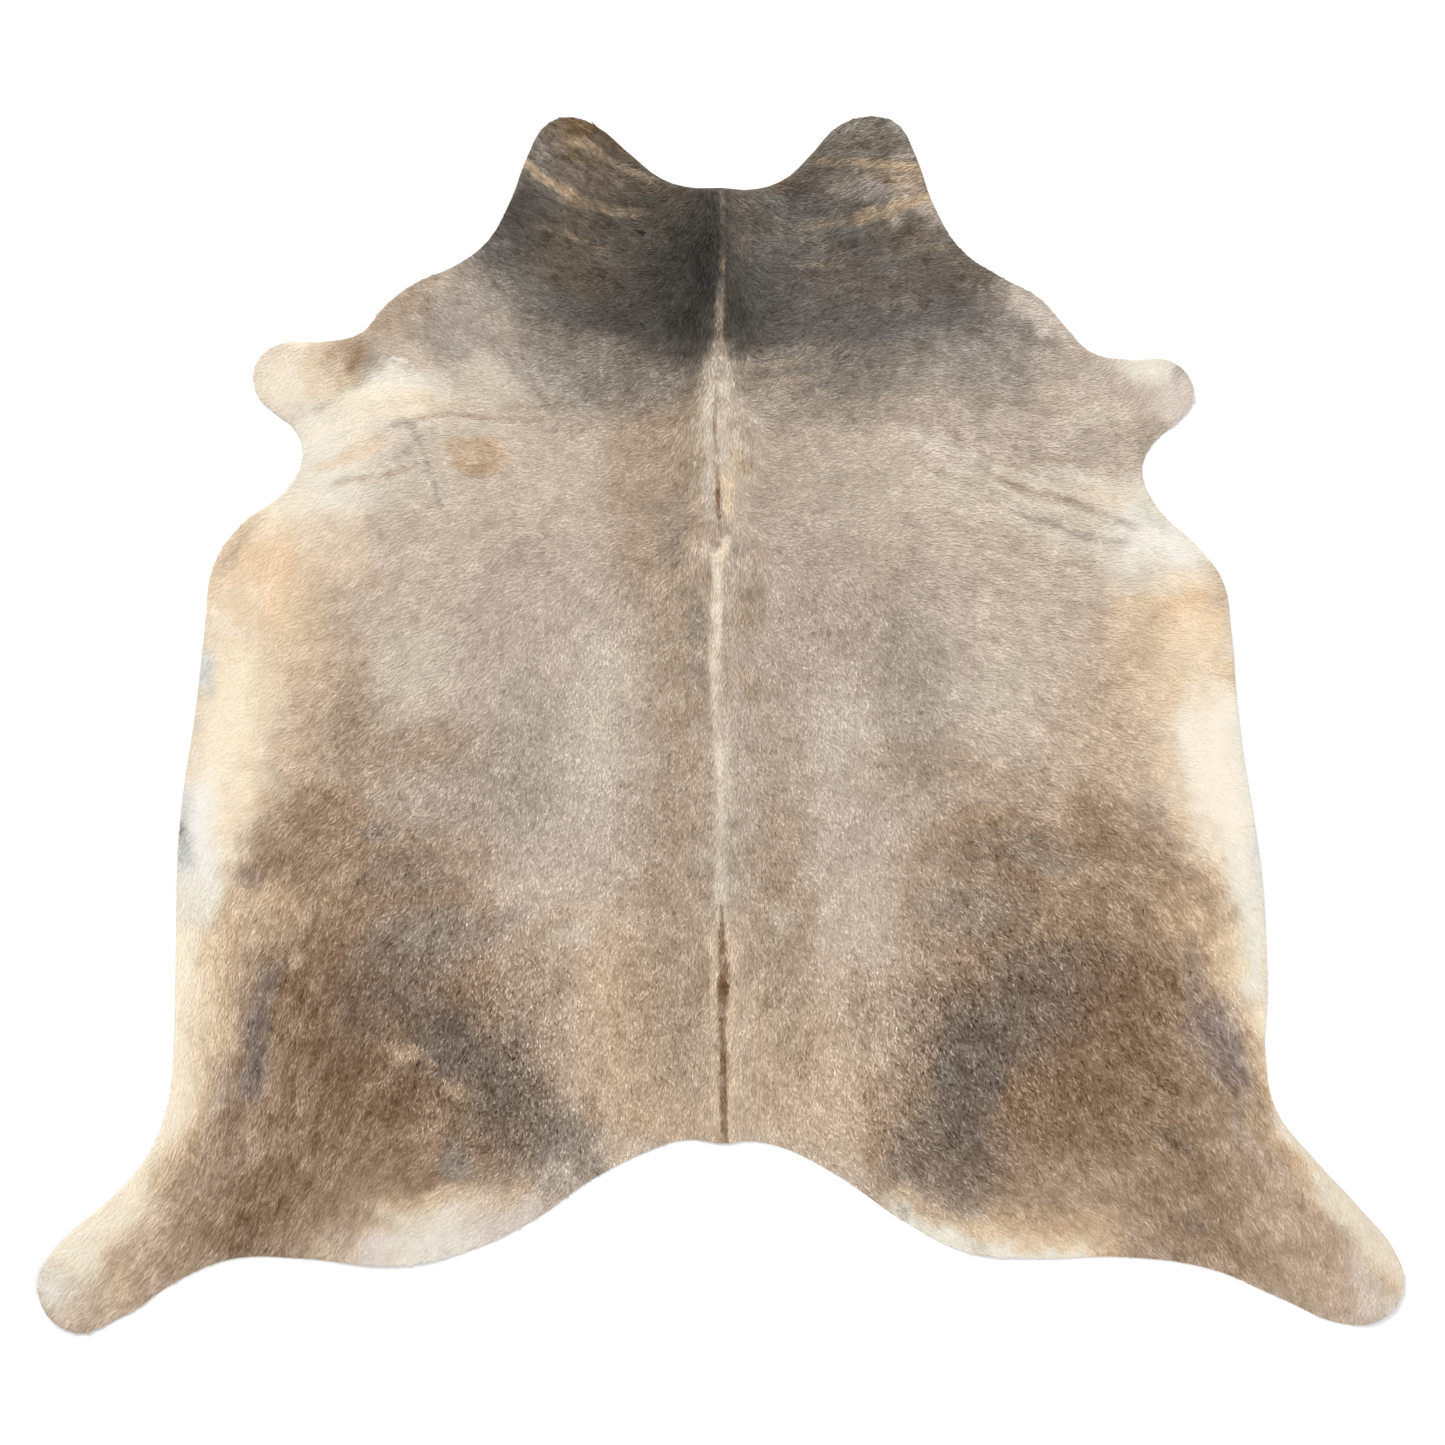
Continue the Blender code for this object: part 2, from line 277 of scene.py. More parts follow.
def screen_to_linear(colour):
    """The linear values that Blender works with, by the curve that all screens follow (sRGB)."""
    c = np.asarray(colour, float) / 255.0
    return np.where(c <= 0.04045, c / 12.92, ((c + 0.055) / 1.055) ** 2.4)


print(len(PALETTE), "colours")

# %% [markdown]
# Real marks have ragged edges. One helper gives a soft random value for every place, from a
# table of random numbers with a fixed seed, so each run gives the same hide. It is used to bend
# the marks' edges, and later to vary the hair.

# %% Random values that change softly over the hide
TABLE_SIDE = 256


def unevenness(x, y, size, seed):
    """A soft random value, mostly from -1 to 1, that changes over about size millimetres."""
    table = np.random.default_rng(seed).standard_normal((TABLE_SIDE, TABLE_SIDE))
    u, v = x / size % TABLE_SIDE, y / size % TABLE_SIDE
    i, j = np.floor(u).astype(int) % TABLE_SIDE, np.floor(v).astype(int) % TABLE_SIDE
    right, above = (i + 1) % TABLE_SIDE, (j + 1) % TABLE_SIDE
    a, b = ease(u - np.floor(u)), ease(v - np.floor(v))
    low = table[i, j] * (1.0 - a) + table[right, j] * a
    high = table[i, above] * (1.0 - a) + table[right, above] * a
    return low * (1.0 - b) + high * b


print("unevenness at the middle:", unevenness(np.zeros(1), np.zeros(1), 40, 1))

# %% How zones, spots and streaks cover
SPOT_FALL = 1.25  # a spot is full in its middle and gone at its rim


def enclosed(x, y, corners):
    """True where a place is inside the corners."""
    odd = np.zeros(len(x), bool)
    for (ax, ay), (bx, by) in zip(corners, corners[1:] + corners[:1]):
        rise = by - ay if by != ay else TINY
        odd ^= ((ay > y) != (by > y)) & (x < ax + (y - ay) * (bx - ax) / rise)
    return odd


def zone_cover(x, y, softness, corners):
    """Half at the line through the corners, and more inside it."""
    inwards = distance_to(x, y, corners, closed=True)
    return ease(0.5 + np.where(enclosed(x, y, corners), inwards, -inwards) / softness)


def spot_cover(x, y, spot_x, spot_y, along, across, heading):
    """Full in the middle of an oval that is turned by its heading."""
    turn = math.radians(heading)
    u = ((x - spot_x) * math.cos(turn) + (y - spot_y) * math.sin(turn)) / along
    v = ((y - spot_y) * math.cos(turn) - (x - spot_x) * math.sin(turn)) / across
    return ease(SPOT_FALL - SPOT_FALL * np.hypot(u, v))


def streak_cover(x, y, half_width, softness, fade, points):
    """Full along the course, and less and less over the last fade millimetres at both ends."""
    share = ease((half_width + softness - distance_to(x, y, points)) / softness)
    for (end_x, end_y), (next_x, next_y) in ((points[0], points[1]), (points[-1], points[-2])):
        if fade:
            step_x, step_y = next_x - end_x, next_y - end_y
            inwards = ((x - end_x) * step_x + (y - end_y) * step_y) / math.hypot(step_x, step_y)
            share = share * ease(inwards / fade)
    return share


# %% [markdown]
# The layers are laid one over the other. Each place is first moved a little, which bends the
# marks' edges, and streaks also break up, as hair does where two colours meet.

# %% Lay the colours over each other
GROUND = "sand"
WANDER, WANDER_SIZE = 9.0, 55
FINE_WANDER, FINE_WANDER_SIZE = 5.0, 17
BREAKS, BREAKS_SIZE = 0.35, 19
LEAST_WHOLE, MEAN_WHOLE, MOST_WHOLE = 0.4, 0.85, 1.1
X_SEEDS, Y_SEEDS, BREAKS_SEED = (3, 4), (5, 6), 8


def wandered(value, x, y, seeds):
    """The value, x or y, moved by a wide and by a fine unevenness."""
    wide_seed, fine_seed = seeds
    return (value + WANDER * unevenness(x, y, WANDER_SIZE, wide_seed)
            + FINE_WANDER * unevenness(x, y, FINE_WANDER_SIZE, fine_seed))


def coat_colour(x, y):
    """The colour of the coat at places in millimetres, as on a screen."""
    wide_x, wide_y = wandered(x, x, y, X_SEEDS), wandered(y, x, y, Y_SEEDS)
    coat = np.tile(np.array(PALETTE[GROUND], float), (len(x), 1))

    def cover(share, colour):
        coat[:] += share[:, None] * (np.array(PALETTE[colour], float) - coat)

    for _, colour, strength, softness, corners in ZONES:
        cover(strength * zone_cover(wide_x, wide_y, softness, corners), colour)
    for _, colour, strength, *place in SPOTS:
        cover(strength * spot_cover(wide_x, wide_y, *place), colour)
    whole = MEAN_WHOLE + BREAKS * unevenness(x, y, BREAKS_SIZE, BREAKS_SEED)
    whole = np.clip(whole, LEAST_WHOLE, MOST_WHOLE)
    for _, colour, strength, half_width, softness, wander, *course in STREAKS:
        bent_x, bent_y = x + wander * (wide_x - x), y + wander * (wide_y - y)
        share = np.minimum(strength * whole, 1.0)
        cover(share * streak_cover(bent_x, bent_y, half_width, softness, *course), colour)
    return coat

# %% [markdown]
# ## The marks
#
# Three tables hold the marks, in millimetres. A zone is an area inside corners, whose softness
# is the width of its blurred edge. A spot is an oval with its middle, its reach along and
# across, and its heading in degrees. A streak follows a course of points: full for its half
# width to each side, then fainter over its softness. A strength above 1 leaves no breaks in
# it, wander is the share of the ragged edge that bends it, and over the length called fade both
# its ends grow thin. Later rows lie over earlier ones, so corrections come last.

# %% The zones
# (zone, colour, strength, softness, corners)
ZONES = [
    ("middle", "mushroom", 0.6, 200,
     [(-420, 260), (-200, 330), (200, 330), (420, 260), (450, 100), (380, -200), (0, -300), (-380, -200),
      (-450, 100)]),
    ("right_back_band", "taupe", 0.6, 130,
     [(15, 620), (120, 560), (330, 330), (310, 60), (150, 60), (120, -150), (100, -330), (15, -330)]),
    ("rump_left", "camel", 0.75, 150, [(-240, -330), (-30, -330), (-20, -690), (-160, -710), (-260, -560)]),
    ("rump_right", "camel", 0.6, 150, [(30, -330), (180, -420), (260, -560), (240, -720), (20, -690)]),
    ("left_back_band", "fawn", 0.9, 130,
     [(-200, 560), (-15, 620), (-15, 250), (-15, 0), (-20, -300), (-30, -600), (-110, -600), (-140, -300),
      (-120, 0), (-150, 250)]),
    ("left_side_warm", "camel", 0.55, 150,
     [(-760, 330), (-660, 260), (-590, 60), (-620, -130), (-780, -150), (-730, 60)]),
    ("right_side_warm", "camel", 0.6, 150,
     [(660, 260), (800, 200), (720, 40), (720, -120), (560, -120), (600, 60)]),
    ("left_haunch", "hazel", 0.95, 170,
     [(-820, -160), (-600, -150), (-420, -230), (-340, -420), (-250, -700), (-420, -790), (-620, -850),
      (-850, -900), (-960, -960), (-900, -840), (-790, -700), (-800, -420)]),
    ("right_haunch", "hazel", 0.95, 170,
     [(850, -230), (640, -130), (420, -180), (330, -420), (270, -600), (290, -760), (440, -790),
      (620, -850), (850, -900), (980, -960), (900, -800), (850, -660), (840, -400)]),
    ("neck_shadow", "ash", 0.85, 130,
     [(-430, 750), (-350, 900), (-340, 1080), (340, 1080), (360, 900), (480, 760), (560, 660), (520, 590),
      (380, 560), (230, 580), (90, 570), (0, 600), (-60, 580), (-160, 560), (-270, 560), (-340, 640),
      (-380, 700)]),
    ("neck", "peat", 0.9, 70,
     [(-330, 800), (-350, 880), (-340, 1080), (340, 1080), (350, 900), (420, 790), (440, 700), (330, 650),
      (220, 650), (140, 640), (60, 608), (0, 600), (-60, 596), (-130, 625), (-180, 660), (-260, 700)]),
]

# %% The spots
# (spot, colour, strength, x, y, along, across, heading)
SPOTS = [
    # neck

    ("neck_right_grey", "slate", 0.75, 210, 780, 230, 150, 0),
    ("left_throat_shade", "slate", 0.8, -355, 785, 120, 65, -50),
    ("left_neck_low", "slate", 0.8, -240, 685, 150, 60, -15),
    ("below_neck_left", "ash", 0.75, -190, 590, 190, 70, -10),
    ("below_neck_left_low", "ash", 0.6, -160, 540, 120, 50, -5),
    ("below_neck_right", "ash", 0.85, 240, 580, 250, 75, 0),
    ("below_neck_right_outer", "dove", 0.7, 400, 565, 170, 70, -12),
    ("right_throat_edge", "mushroom", 0.8, 510, 700, 90, 50, -40),
    ("neck_core", "charcoal", 0.95, -55, 715, 180, 100, 90),
    ("neck_core_top", "soot", 0.75, -20, 820, 130, 75, 90),
    ("neck_core_side", "soot", 0.65, -115, 690, 110, 80, 70),
    ("neck_left_dove", "ash", 0.45, -205, 652, 60, 26, -15),
    ("neck_core_right", "soot", 0.9, 42, 690, 130, 62, 88),
    ("neck_core_foot", "graphite", 0.6, 80, 640, 100, 40, 0),
    ("neck_core_inner", "charcoal", 0.45, -74, 694, 44, 28, 0),
    ("neck_crest_shade", "soot", 0.3, 0, 895, 170, 36, 0),
    ("neck_foot_shade", "charcoal", 0.3, 70, 690, 120, 60, 90),
    ("neck_left_mid", "graphite", 0.75, -155, 690, 150, 80, -12),
    ("neck_left_brown", "olive", 0.7, -170, 840, 140, 65, -30),
    ("neck_left_deep", "graphite", 0.55, -150, 770, 170, 90, -25),
    ("neck_left_outer", "olive", 0.75, -260, 765, 130, 75, -25),
    ("neck_left_crest", "graphite", 0.6, -120, 850, 110, 60, 0),
    ("left_throat_dark", "graphite", 0.9, -330, 848, 90, 60, 100),
    ("left_throat_blue", "slate", 0.5, -295, 868, 60, 30, -35),
    ("left_lobe_gold", "gold_brown", 0.75, -245, 985, 120, 60, 160),
    ("left_lobe_side", "ash", 0.85, -302, 940, 90, 48, 70),
    ("left_lobe_dark", "rust", 0.75, -180, 950, 140, 40, -40),
    ("left_lobe_low", "olive", 0.75, -125, 905, 120, 36, -32),
    ("left_lobe_grey", "burnt", 0.6, -225, 905, 100, 45, -15),
    ("left_lobe_umber", "soot", 0.35, -182, 938, 80, 30, -27),
    ("right_lobe_top", "ash", 0.7, 240, 985, 110, 40, 0),
    ("right_lobe_grey", "ash", 0.75, 265, 958, 120, 60, 0),
    ("right_lobe_edge", "dove", 0.6, 305, 955, 60, 40, 110),
    ("right_lobe_inner", "slate", 0.45, 150, 905, 110, 45, 30),
    ("right_lobe_rust", "rust", 0.4, 110, 888, 60, 22, 20),
    ("right_neck_inner", "slate", 0.6, 120, 850, 120, 45, 5),
    ("right_neck_cool", "slate", 0.8, 105, 735, 150, 90, 85),
    ("right_neck_mid", "smoke", 0.5, 190, 745, 130, 60, 0),
    ("right_band", "slate", 0.85, 270, 660, 260, 62, 2),
    ("right_band_outer", "slate", 0.7, 385, 700, 90, 50, -35),
    ("right_band_end", "slate", 0.5, 355, 648, 90, 32, 0),
    ("right_band_pale", "ash", 0.8, 298, 708, 70, 24, 0),
    ("right_throat_dark", "smoke", 0.7, 345, 745, 90, 45, -15),
    ("right_neck_pale", "ash", 0.35, 150, 795, 110, 35, -10),
    ("right_neck_mauve", "burnt", 0.6, 325, 808, 110, 32, 0),
    ("right_lobe_pale", "dove", 0.75, 265, 888, 130, 42, 0),
    ("right_lobe_side", "fawn", 0.8, 310, 900, 80, 40, 110),
    ("right_throat_pale", "mushroom", 0.9, 355, 850, 62, 42, -50),
    ("neck_left_tip", "soot", 0.4, -192, 974, 46, 26, -30),
    ("left_throat_deep", "graphite", 0.9, -343, 872, 46, 34, 70),
    ("neck_left_top", "graphite", 0.65, -113, 908, 44, 26, 0),
    ("neck_foot_light", "ash", 0.5, -67, 601, 40, 24, 0),
    ("neck_core_deep", "charcoal", 0.6, -36, 752, 60, 30, 90),
    ("right_neck_light", "taupe", 0.6, 298, 839, 44, 26, 60),
    ("right_throat_light", "ash", 0.9, 387, 786, 44, 24, -50),
    ("right_foot_grey", "slate", 0.65, 228, 608, 60, 24, 0),
    # left shoulder

    ("left_shoulder_grey", "dove", 0.65, -440, 655, 170, 70, -30),
    ("left_shoulder_edge", "fawn", 0.75, -530, 690, 130, 60, 35),
    ("left_shoulder_shade", "dove", 0.6, -450, 610, 70, 40, -30),
    ("left_shoulder_cool", "dove", 0.5, -395, 705, 70, 40, 0),
    ("left_shoulder_inner", "dove", 0.7, -285, 565, 120, 70, -25),
    ("left_shoulder_pale", "oat", 0.7, -390, 555, 170, 70, -10),
    ("left_shoulder_light", "ivory", 0.9, -545, 556, 150, 55, -6),
    ("left_foreleg", "shell", 1.0, -700, 560, 150, 110, -15),
    ("left_foreleg_cream", "cream", 0.35, -715, 580, 90, 60, 0),
    ("left_foreleg_shade", "buff", 0.6, -650, 545, 90, 35, -60),
    ("left_foreleg_tan", "buff", 0.6, -655, 606, 80, 45, 0),
    ("left_foreleg_brown", "hazel", 0.75, -616, 604, 66, 50, 100),
    ("left_foreleg_grey", "ash", 0.35, -588, 583, 50, 36, 60),
    ("left_foreleg_umber", "umber", 0.4, -616, 602, 44, 18, 75),
    ("left_shoulder_cream", "cream", 0.85, -575, 516, 165, 58, 7),
    ("left_shoulder_honey", "honey", 0.35, -470, 528, 90, 26, 0),
    ("left_elbow_low", "bone", 0.8, -690, 505, 90, 55, 20),
    ("left_elbow", "shell", 0.9, -605, 468, 150, 60, 12),
    ("left_elbow_honey", "honey", 0.5, -605, 456, 90, 24, 12),
    ("left_elbow_grey", "oat", 0.6, -540, 445, 70, 30, 20),
    ("left_elbow_glow", "bone", 0.6, -492, 474, 60, 22, 15),
    ("left_elbow_glow_two", "bone", 0.6, -440, 484, 60, 16, -4),
    ("left_shoulder_oat", "oat", 1.0, -435, 470, 170, 85, 0),
    ("left_upper_shade", "taupe", 0.6, -262, 508, 100, 40, 0),
    ("left_armpit", "ivory", 1.0, -668, 418, 140, 95, 60),
    ("left_chest", "shell", 0.95, -670, 365, 180, 95, 32),
    ("left_chest_inner", "ivory", 0.7, -610, 392, 130, 60, 10),
    ("left_chest_low", "shell", 0.7, -690, 300, 130, 70, 0),
    ("left_below_elbow", "oat", 0.7, -530, 395, 120, 55, 5),
    ("left_side_light", "buff", 0.6, -635, 265, 110, 90, 80),
    ("left_middle_light", "oat", 0.35, -400, 385, 190, 60, 0),
    ("left_oval", "camel", 0.58, -396, 445, 92, 44, -4),
    ("left_oval_rust", "rust", 0.1, -380, 440, 60, 30, -20),
    ("left_leg_cream", "cream", 0.7, -703, 628, 44, 24, -10),
    ("left_leg_buff", "buff", 0.5, -614, 572, 44, 26, 0),
    # right shoulder

    ("right_shoulder_grey", "dove", 0.7, 420, 600, 190, 85, -12),
    ("right_shoulder_deep", "ash", 0.9, 275, 600, 120, 45, 0),
    ("right_shoulder_blue", "dove", 0.9, 340, 555, 100, 42, 0),
    ("right_shoulder_low", "taupe", 0.8, 320, 505, 200, 55, -8),
    ("right_shoulder_soft", "taupe", 0.5, 430, 530, 230, 70, -6),
    ("right_shoulder_mid", "mushroom", 0.6, 500, 480, 210, 60, -12),
    ("right_shoulder_plum", "plum", 0.5, 445, 690, 70, 30, -50),
    ("right_shoulder_dove", "dove", 0.6, 490, 645, 90, 50, -35),
    ("right_shoulder_edge", "rose", 0.5, 540, 680, 100, 38, -38),
    ("right_shoulder_outer", "mushroom", 0.8, 600, 580, 140, 60, -10),
    ("right_shoulder_light", "sand", 0.8, 560, 545, 90, 45, 0),
    ("right_shoulder_oat", "oat", 0.6, 620, 510, 90, 36, 0),
    ("right_foreleg", "rose", 0.85, 725, 570, 120, 70, 5),
    ("right_foreleg_shade", "sand", 0.7, 680, 548, 90, 38, 0),
    ("right_foreleg_rim", "ivory", 0.95, 700, 606, 110, 36, 3),
    ("right_foreleg_tip", "rose", 0.7, 755, 525, 80, 60, 90),
    ("right_foreleg_grey", "dove", 0.5, 758, 582, 40, 22, 90),
    ("right_foreleg_brown", "taupe", 0.75, 678, 480, 100, 45, 12),
    ("right_elbow", "mushroom", 0.6, 600, 460, 110, 40, -5),
    ("right_elbow_grey", "taupe", 0.6, 540, 438, 130, 34, -6),
    # a pale band along the shoulder's fold: painted highlight on its ridge
    ("right_fold_pale", "rose", 0.6, 400, 438, 150, 34, -24),
    ("right_fold_mist", "mist", 0.4, 590, 400, 150, 20, -4),
    ("right_chest_pale", "shell", 0.85, 660, 375, 140, 55, -15),
    ("right_chest_yellow", "honey", 0.2, 640, 370, 90, 30, -15),
    ("right_chest_mid", "oat", 0.85, 480, 375, 240, 85, -18),
    ("right_chest_low", "oat", 1.0, 610, 310, 130, 70, -15),
    ("right_chest_edge", "ivory", 1.0, 735, 305, 150, 75, -42),
    ("right_chest_mist", "mist", 0.4, 715, 340, 60, 22, -45),
    ("right_throat_slate", "slate", 0.35, 459, 737, 46, 28, -40),
    ("right_elbow_milk", "milk", 0.4, 690, 404, 44, 26, -50),
    # left flank
    ("left_flank_buff", "buff", 0.85, -735, 150, 260, 65, 88),
    ("left_flank_honey", "honey", 1.0, -765, 250, 150, 125, 80),
    ("left_flank_corner", "cream", 0.65, -735, 345, 100, 60, 25),
    ("left_flank_rim", "buff", 0.8, -830, 250, 90, 30, 70),
    ("left_flank_cream", "cream", 1.0, -820, 20, 300, 120, 90),
    ("left_flank_cream_low", "milk", 0.9, -852, -165, 140, 68, 100),
    ("left_flank_edge", "mist", 0.8, -862, 80, 90, 30, 84),
    ("left_flank_edge_low", "mist", 0.8, -890, -190, 90, 32, 92),
    # right flank
    ("right_flank_pale", "bone", 0.85, 695, 265, 110, 60, -15),
    ("right_flank_pink", "ivory", 0.6, 775, 66, 70, 36, 0),
    ("right_flank_corner", "milk", 0.75, 742, 292, 95, 42, -20),
    ("right_flank_honey", "honey", 1.0, 782, 165, 140, 100, 95),
    ("right_flank_honey_inner", "buff", 0.5, 700, 90, 170, 60, 90),
    ("right_flank_cream", "cream", 1.0, 805, -30, 260, 110, 95),
    ("right_flank_edge", "ivory", 0.8, 870, -40, 200, 45, 94),
    ("right_flank_cream_low", "milk", 0.9, 840, -160, 130, 70, 80),
    ("right_flank_tan", "camel", 0.5, 752, -160, 60, 34, 110),
    # body
    ("left_pale_patch", "oat", 0.85, -520, 95, 130, 90, 30),
    ("left_side_brown", "fawn", 0.9, -605, -10, 150, 65, 85),
    ("left_side_tan", "fawn", 0.75, -490, -35, 180, 75, 0),
    ("left_side_low", "hazel", 0.7, -660, -150, 130, 60, 10),
    ("left_side_glow", "buff", 0.6, -682, 135, 120, 50, 86),
    ("left_side_glow_low", "buff", 0.6, -706, -50, 60, 36, 90),
    ("left_side_shade", "hazel", 0.55, -480, -200, 150, 60, 0),
    ("left_dark_spot", "taupe", 0.7, -330, 275, 70, 50, 0),
    ("left_body_dark", "taupe", 0.7, -430, -120, 180, 110, 20),
    ("left_band_top", "fawn", 0.5, -155, 290, 150, 60, 90),
    ("pale_streak_left", "oat", 0.75, -205, 0, 240, 65, 88),
    ("right_pale", "oat", 0.5, 190, -10, 160, 60, 85),
    ("right_body_dark", "taupe", 0.8, 290, 170, 230, 70, 85),
    ("right_middle_tan", "fawn", 0.75, 345, -70, 150, 110, 0),
    ("right_light", "oat", 0.5, 460, 70, 130, 90, 60),
    ("right_middle_light", "sand", 0.6, 265, 300, 110, 70, 90),
    ("right_upper_light", "oat", 0.4, 260, 375, 220, 90, -5),
    ("below_neck_shade", "ash", 0.4, 170, 515, 150, 45, 0),
    ("right_lower_tan", "fawn", 0.5, 500, -100, 130, 60, 0),
    ("right_back_warm", "fawn", 0.85, 100, -290, 420, 85, 91),
    ("right_back_brown", "hazel", 0.5, 42, 72, 45, 26, 80),
    ("left_flank_shade", "fawn", 0.4, -803, 288, 46, 24, 62),
    ("left_flank_top", "buff", 0.5, -770, 335, 50, 26, 40),
    ("right_low_dark", "hazel", 0.75, 420, -190, 160, 80, 10),
    ("left_back_glow", "oat", 0.7, -22, 420, 60, 20, 90),
    ("right_back_glow_top", "oat", 0.7, 31, 456, 44, 20, 90),
    ("left_back_shade", "ash", 0.45, -74, 312, 90, 28, 94),
    ("right_back_shade", "hazel", 0.45, 48, 220, 110, 30, 80),
    ("left_back_shade_mid", "ash", 0.5, -44, 168, 80, 24, 90),
    ("left_back_shade_low", "ash", 0.4, -41, 81, 50, 24, 90),
    ("right_back_glow", "oat", 0.6, 100, -321, 50, 32, 90),
    ("right_rump_shade", "hazel", 0.5, 143, -551, 50, 32, 90),
    ("left_rump_rose", "rose", 0.45, -123, -700, 50, 30, 0),
    ("left_rib_tan", "fawn", 0.7, -572, -87, 46, 28, 0),
    ("left_rib_ash", "ash", 0.5, -575, -179, 46, 26, 0),
    ("right_rib_glow", "taupe", 0.7, 538, -228, 50, 28, 0),
    ("right_side_honey", "honey", 0.6, 722, -60, 46, 26, 90),
    # left haunch
    ("left_groin_pale", "milk", 0.95, -868, -245, 150, 56, 90),
    ("left_groin_tan", "buff", 0.6, -775, -310, 120, 75, -20),
    ("left_groin_glow", "camel", 0.6, -710, -292, 60, 28, 0),
    ("left_groin_dark", "cocoa", 0.4, -705, -225, 55, 30, 0),
    ("left_groin_shade", "plum", 0.5, -785, -258, 45, 26, 0),
    ("left_haunch_dark", "rust", 0.75, -630, -480, 220, 130, 80),
    ("left_haunch_smoke", "burnt", 0.55, -545, -425, 190, 110, 50),
    ("left_haunch_grey", "dove", 0.55, -475, -345, 160, 80, 0),
    ("left_haunch_top", "ash", 0.4, -520, -240, 140, 60, 10),
    ("left_haunch_seam", "cocoa", 0.6, -685, -610, 110, 50, 60),
    ("left_haunch_mid", "tan", 0.5, -690, -305, 90, 40, 20),
    ("left_haunch_streak", "rust", 0.6, -722, -405, 80, 34, 100),
    ("left_haunch_inner", "fawn", 0.7, -300, -420, 170, 80, 70),
    ("left_mauve", "plum", 0.4, -772, -550, 90, 40, 96),
    ("left_haunch_rust", "rust", 0.6, -600, -610, 170, 100, 40),
    ("left_haunch_spot", "umber", 0.35, -622, -560, 60, 40, 40),
    ("left_haunch_fleck", "hazel", 0.45, -556, -598, 55, 32, 10),
    ("left_char_wide", "burnt", 0.6, -425, -565, 250, 140, 118),
    ("left_char_one", "smoke", 0.6, -455, -520, 110, 75, 120),
    ("left_char_two", "smoke", 0.5, -345, -610, 190, 90, 108),
    ("left_char_rust", "rust", 0.75, -510, -620, 90, 55, 20),
    ("left_char_tan", "hazel", 0.5, -455, -650, 100, 40, 75),
    ("left_rump_edge", "ash", 0.7, -245, -690, 130, 55, -40),
    ("left_rump_tan", "tan", 0.5, -150, -450, 110, 45, 90),
    ("left_haunch_edge", "cocoa", 0.6, -800, -640, 150, 50, 78),
    ("left_pale_fleck", "camel", 0.7, -520, -550, 55, 24, -15),
    ("left_pale_fleck_low", "camel", 0.6, -435, -598, 42, 22, -40),
    ("left_haunch_low", "cocoa", 0.8, -740, -770, 230, 100, 35),
    ("left_rump_pale", "mushroom", 0.7, -290, -765, 140, 55, 33),
    ("left_rump_smoke", "dove", 0.7, -438, -725, 80, 40, 100),
    ("left_shank_top", "hazel", 0.65, -850, -705, 100, 50, 60),
    ("left_shank_body", "biscuit", 0.85, -950, -870, 240, 90, 50),
    ("left_shank_outer", "buff", 0.6, -1040, -935, 130, 90, 40),
    ("left_shank_pink", "rose", 0.4, -1060, -960, 80, 50, 30),
    ("left_shank_tip", "ivory", 0.8, -1100, -905, 80, 60, 80),
    ("left_loin_plum", "plum", 0.4, -357, -321, 50, 28, 0),
    ("left_loin_oat", "oat", 0.8, -239, -347, 46, 28, 30),
    ("left_char_shade", "burnt", 0.4, -334, -495, 50, 28, 90),
    ("left_rump_hazel", "hazel", 0.5, -212, -640, 50, 30, 90),
    ("left_char_foot", "ash", 0.6, -278, -713, 46, 26, -50),
    ("left_hem_rose", "rose", 0.5, -278, -790, 46, 22, -30),
    ("left_hem_rose_low", "rose", 0.7, -380, -795, 46, 24, 0),
    ("left_haunch_glow", "tan", 0.9, -710, -377, 44, 26, 60),
    ("left_haunch_burnt", "burnt", 0.6, -746, -472, 50, 24, 90),
    ("left_haunch_hazel", "hazel", 0.8, -641, -482, 40, 24, 60),
    ("left_hem_buff", "buff", 0.6, -486, -779, 50, 24, 10),
    ("left_thigh_rust", "rust", 0.5, -786, -876, 72, 26, 8),
    ("left_thigh_glow", "buff", 0.45, -664, -868, 46, 20, 0),
    ("left_shank_tip_pale", "milk", 0.7, -1118, -948, 40, 22, -50),
    # right haunch
    ("right_thigh_honey", "honey", 0.4, 825, -370, 140, 60, 100),
    ("right_groin_pale", "ivory", 0.8, 870, -215, 90, 40, 95),
    ("right_groin_tan", "camel", 0.8, 770, -330, 150, 65, -60),
    ("right_groin_grey", "ash", 0.4, 772, -405, 70, 40, 110),
    ("right_groin_shade", "fawn", 0.5, 800, -262, 70, 32, -60),
    ("right_groin_spot", "plum", 0.8, 814, -284, 50, 28, -55),
    ("right_haunch_smoke", "burnt", 0.8, 530, -440, 210, 130, 15),
    ("right_haunch_dark", "rust", 0.5, 650, -440, 150, 80, 0),
    ("right_low_side", "fawn", 0.75, 330, -290, 170, 75, 80),
    ("right_low_grey", "ash", 0.45, 430, -310, 140, 80, 0),
    ("right_haunch_pale", "fawn", 0.45, 570, -245, 140, 45, 0),
    ("right_rib_shade", "ash", 0.25, 330, 20, 240, 90, 90),
    ("left_rib_shade", "ash", 0.22, -320, -60, 250, 90, 90),
    ("right_haunch_grey", "ash", 0.4, 480, -210, 190, 60, 0),
    ("right_side_band", "tan", 0.7, 680, -260, 130, 60, -20),
    ("right_side_dark", "hazel", 0.6, 605, -150, 80, 50, 0),
    ("right_side_glow", "buff", 0.5, 660, 160, 100, 46, 80),
    ("right_side_glow_top", "shell", 0.5, 650, 226, 60, 28, 0),
    ("right_side_glow_flank", "shell", 0.5, 730, 224, 60, 26, 0),
    ("right_flank_glow", "cream", 0.45, 760, 242, 60, 26, -10),
    ("right_flank_glow_low", "buff", 0.8, 700, 202, 54, 28, 0),
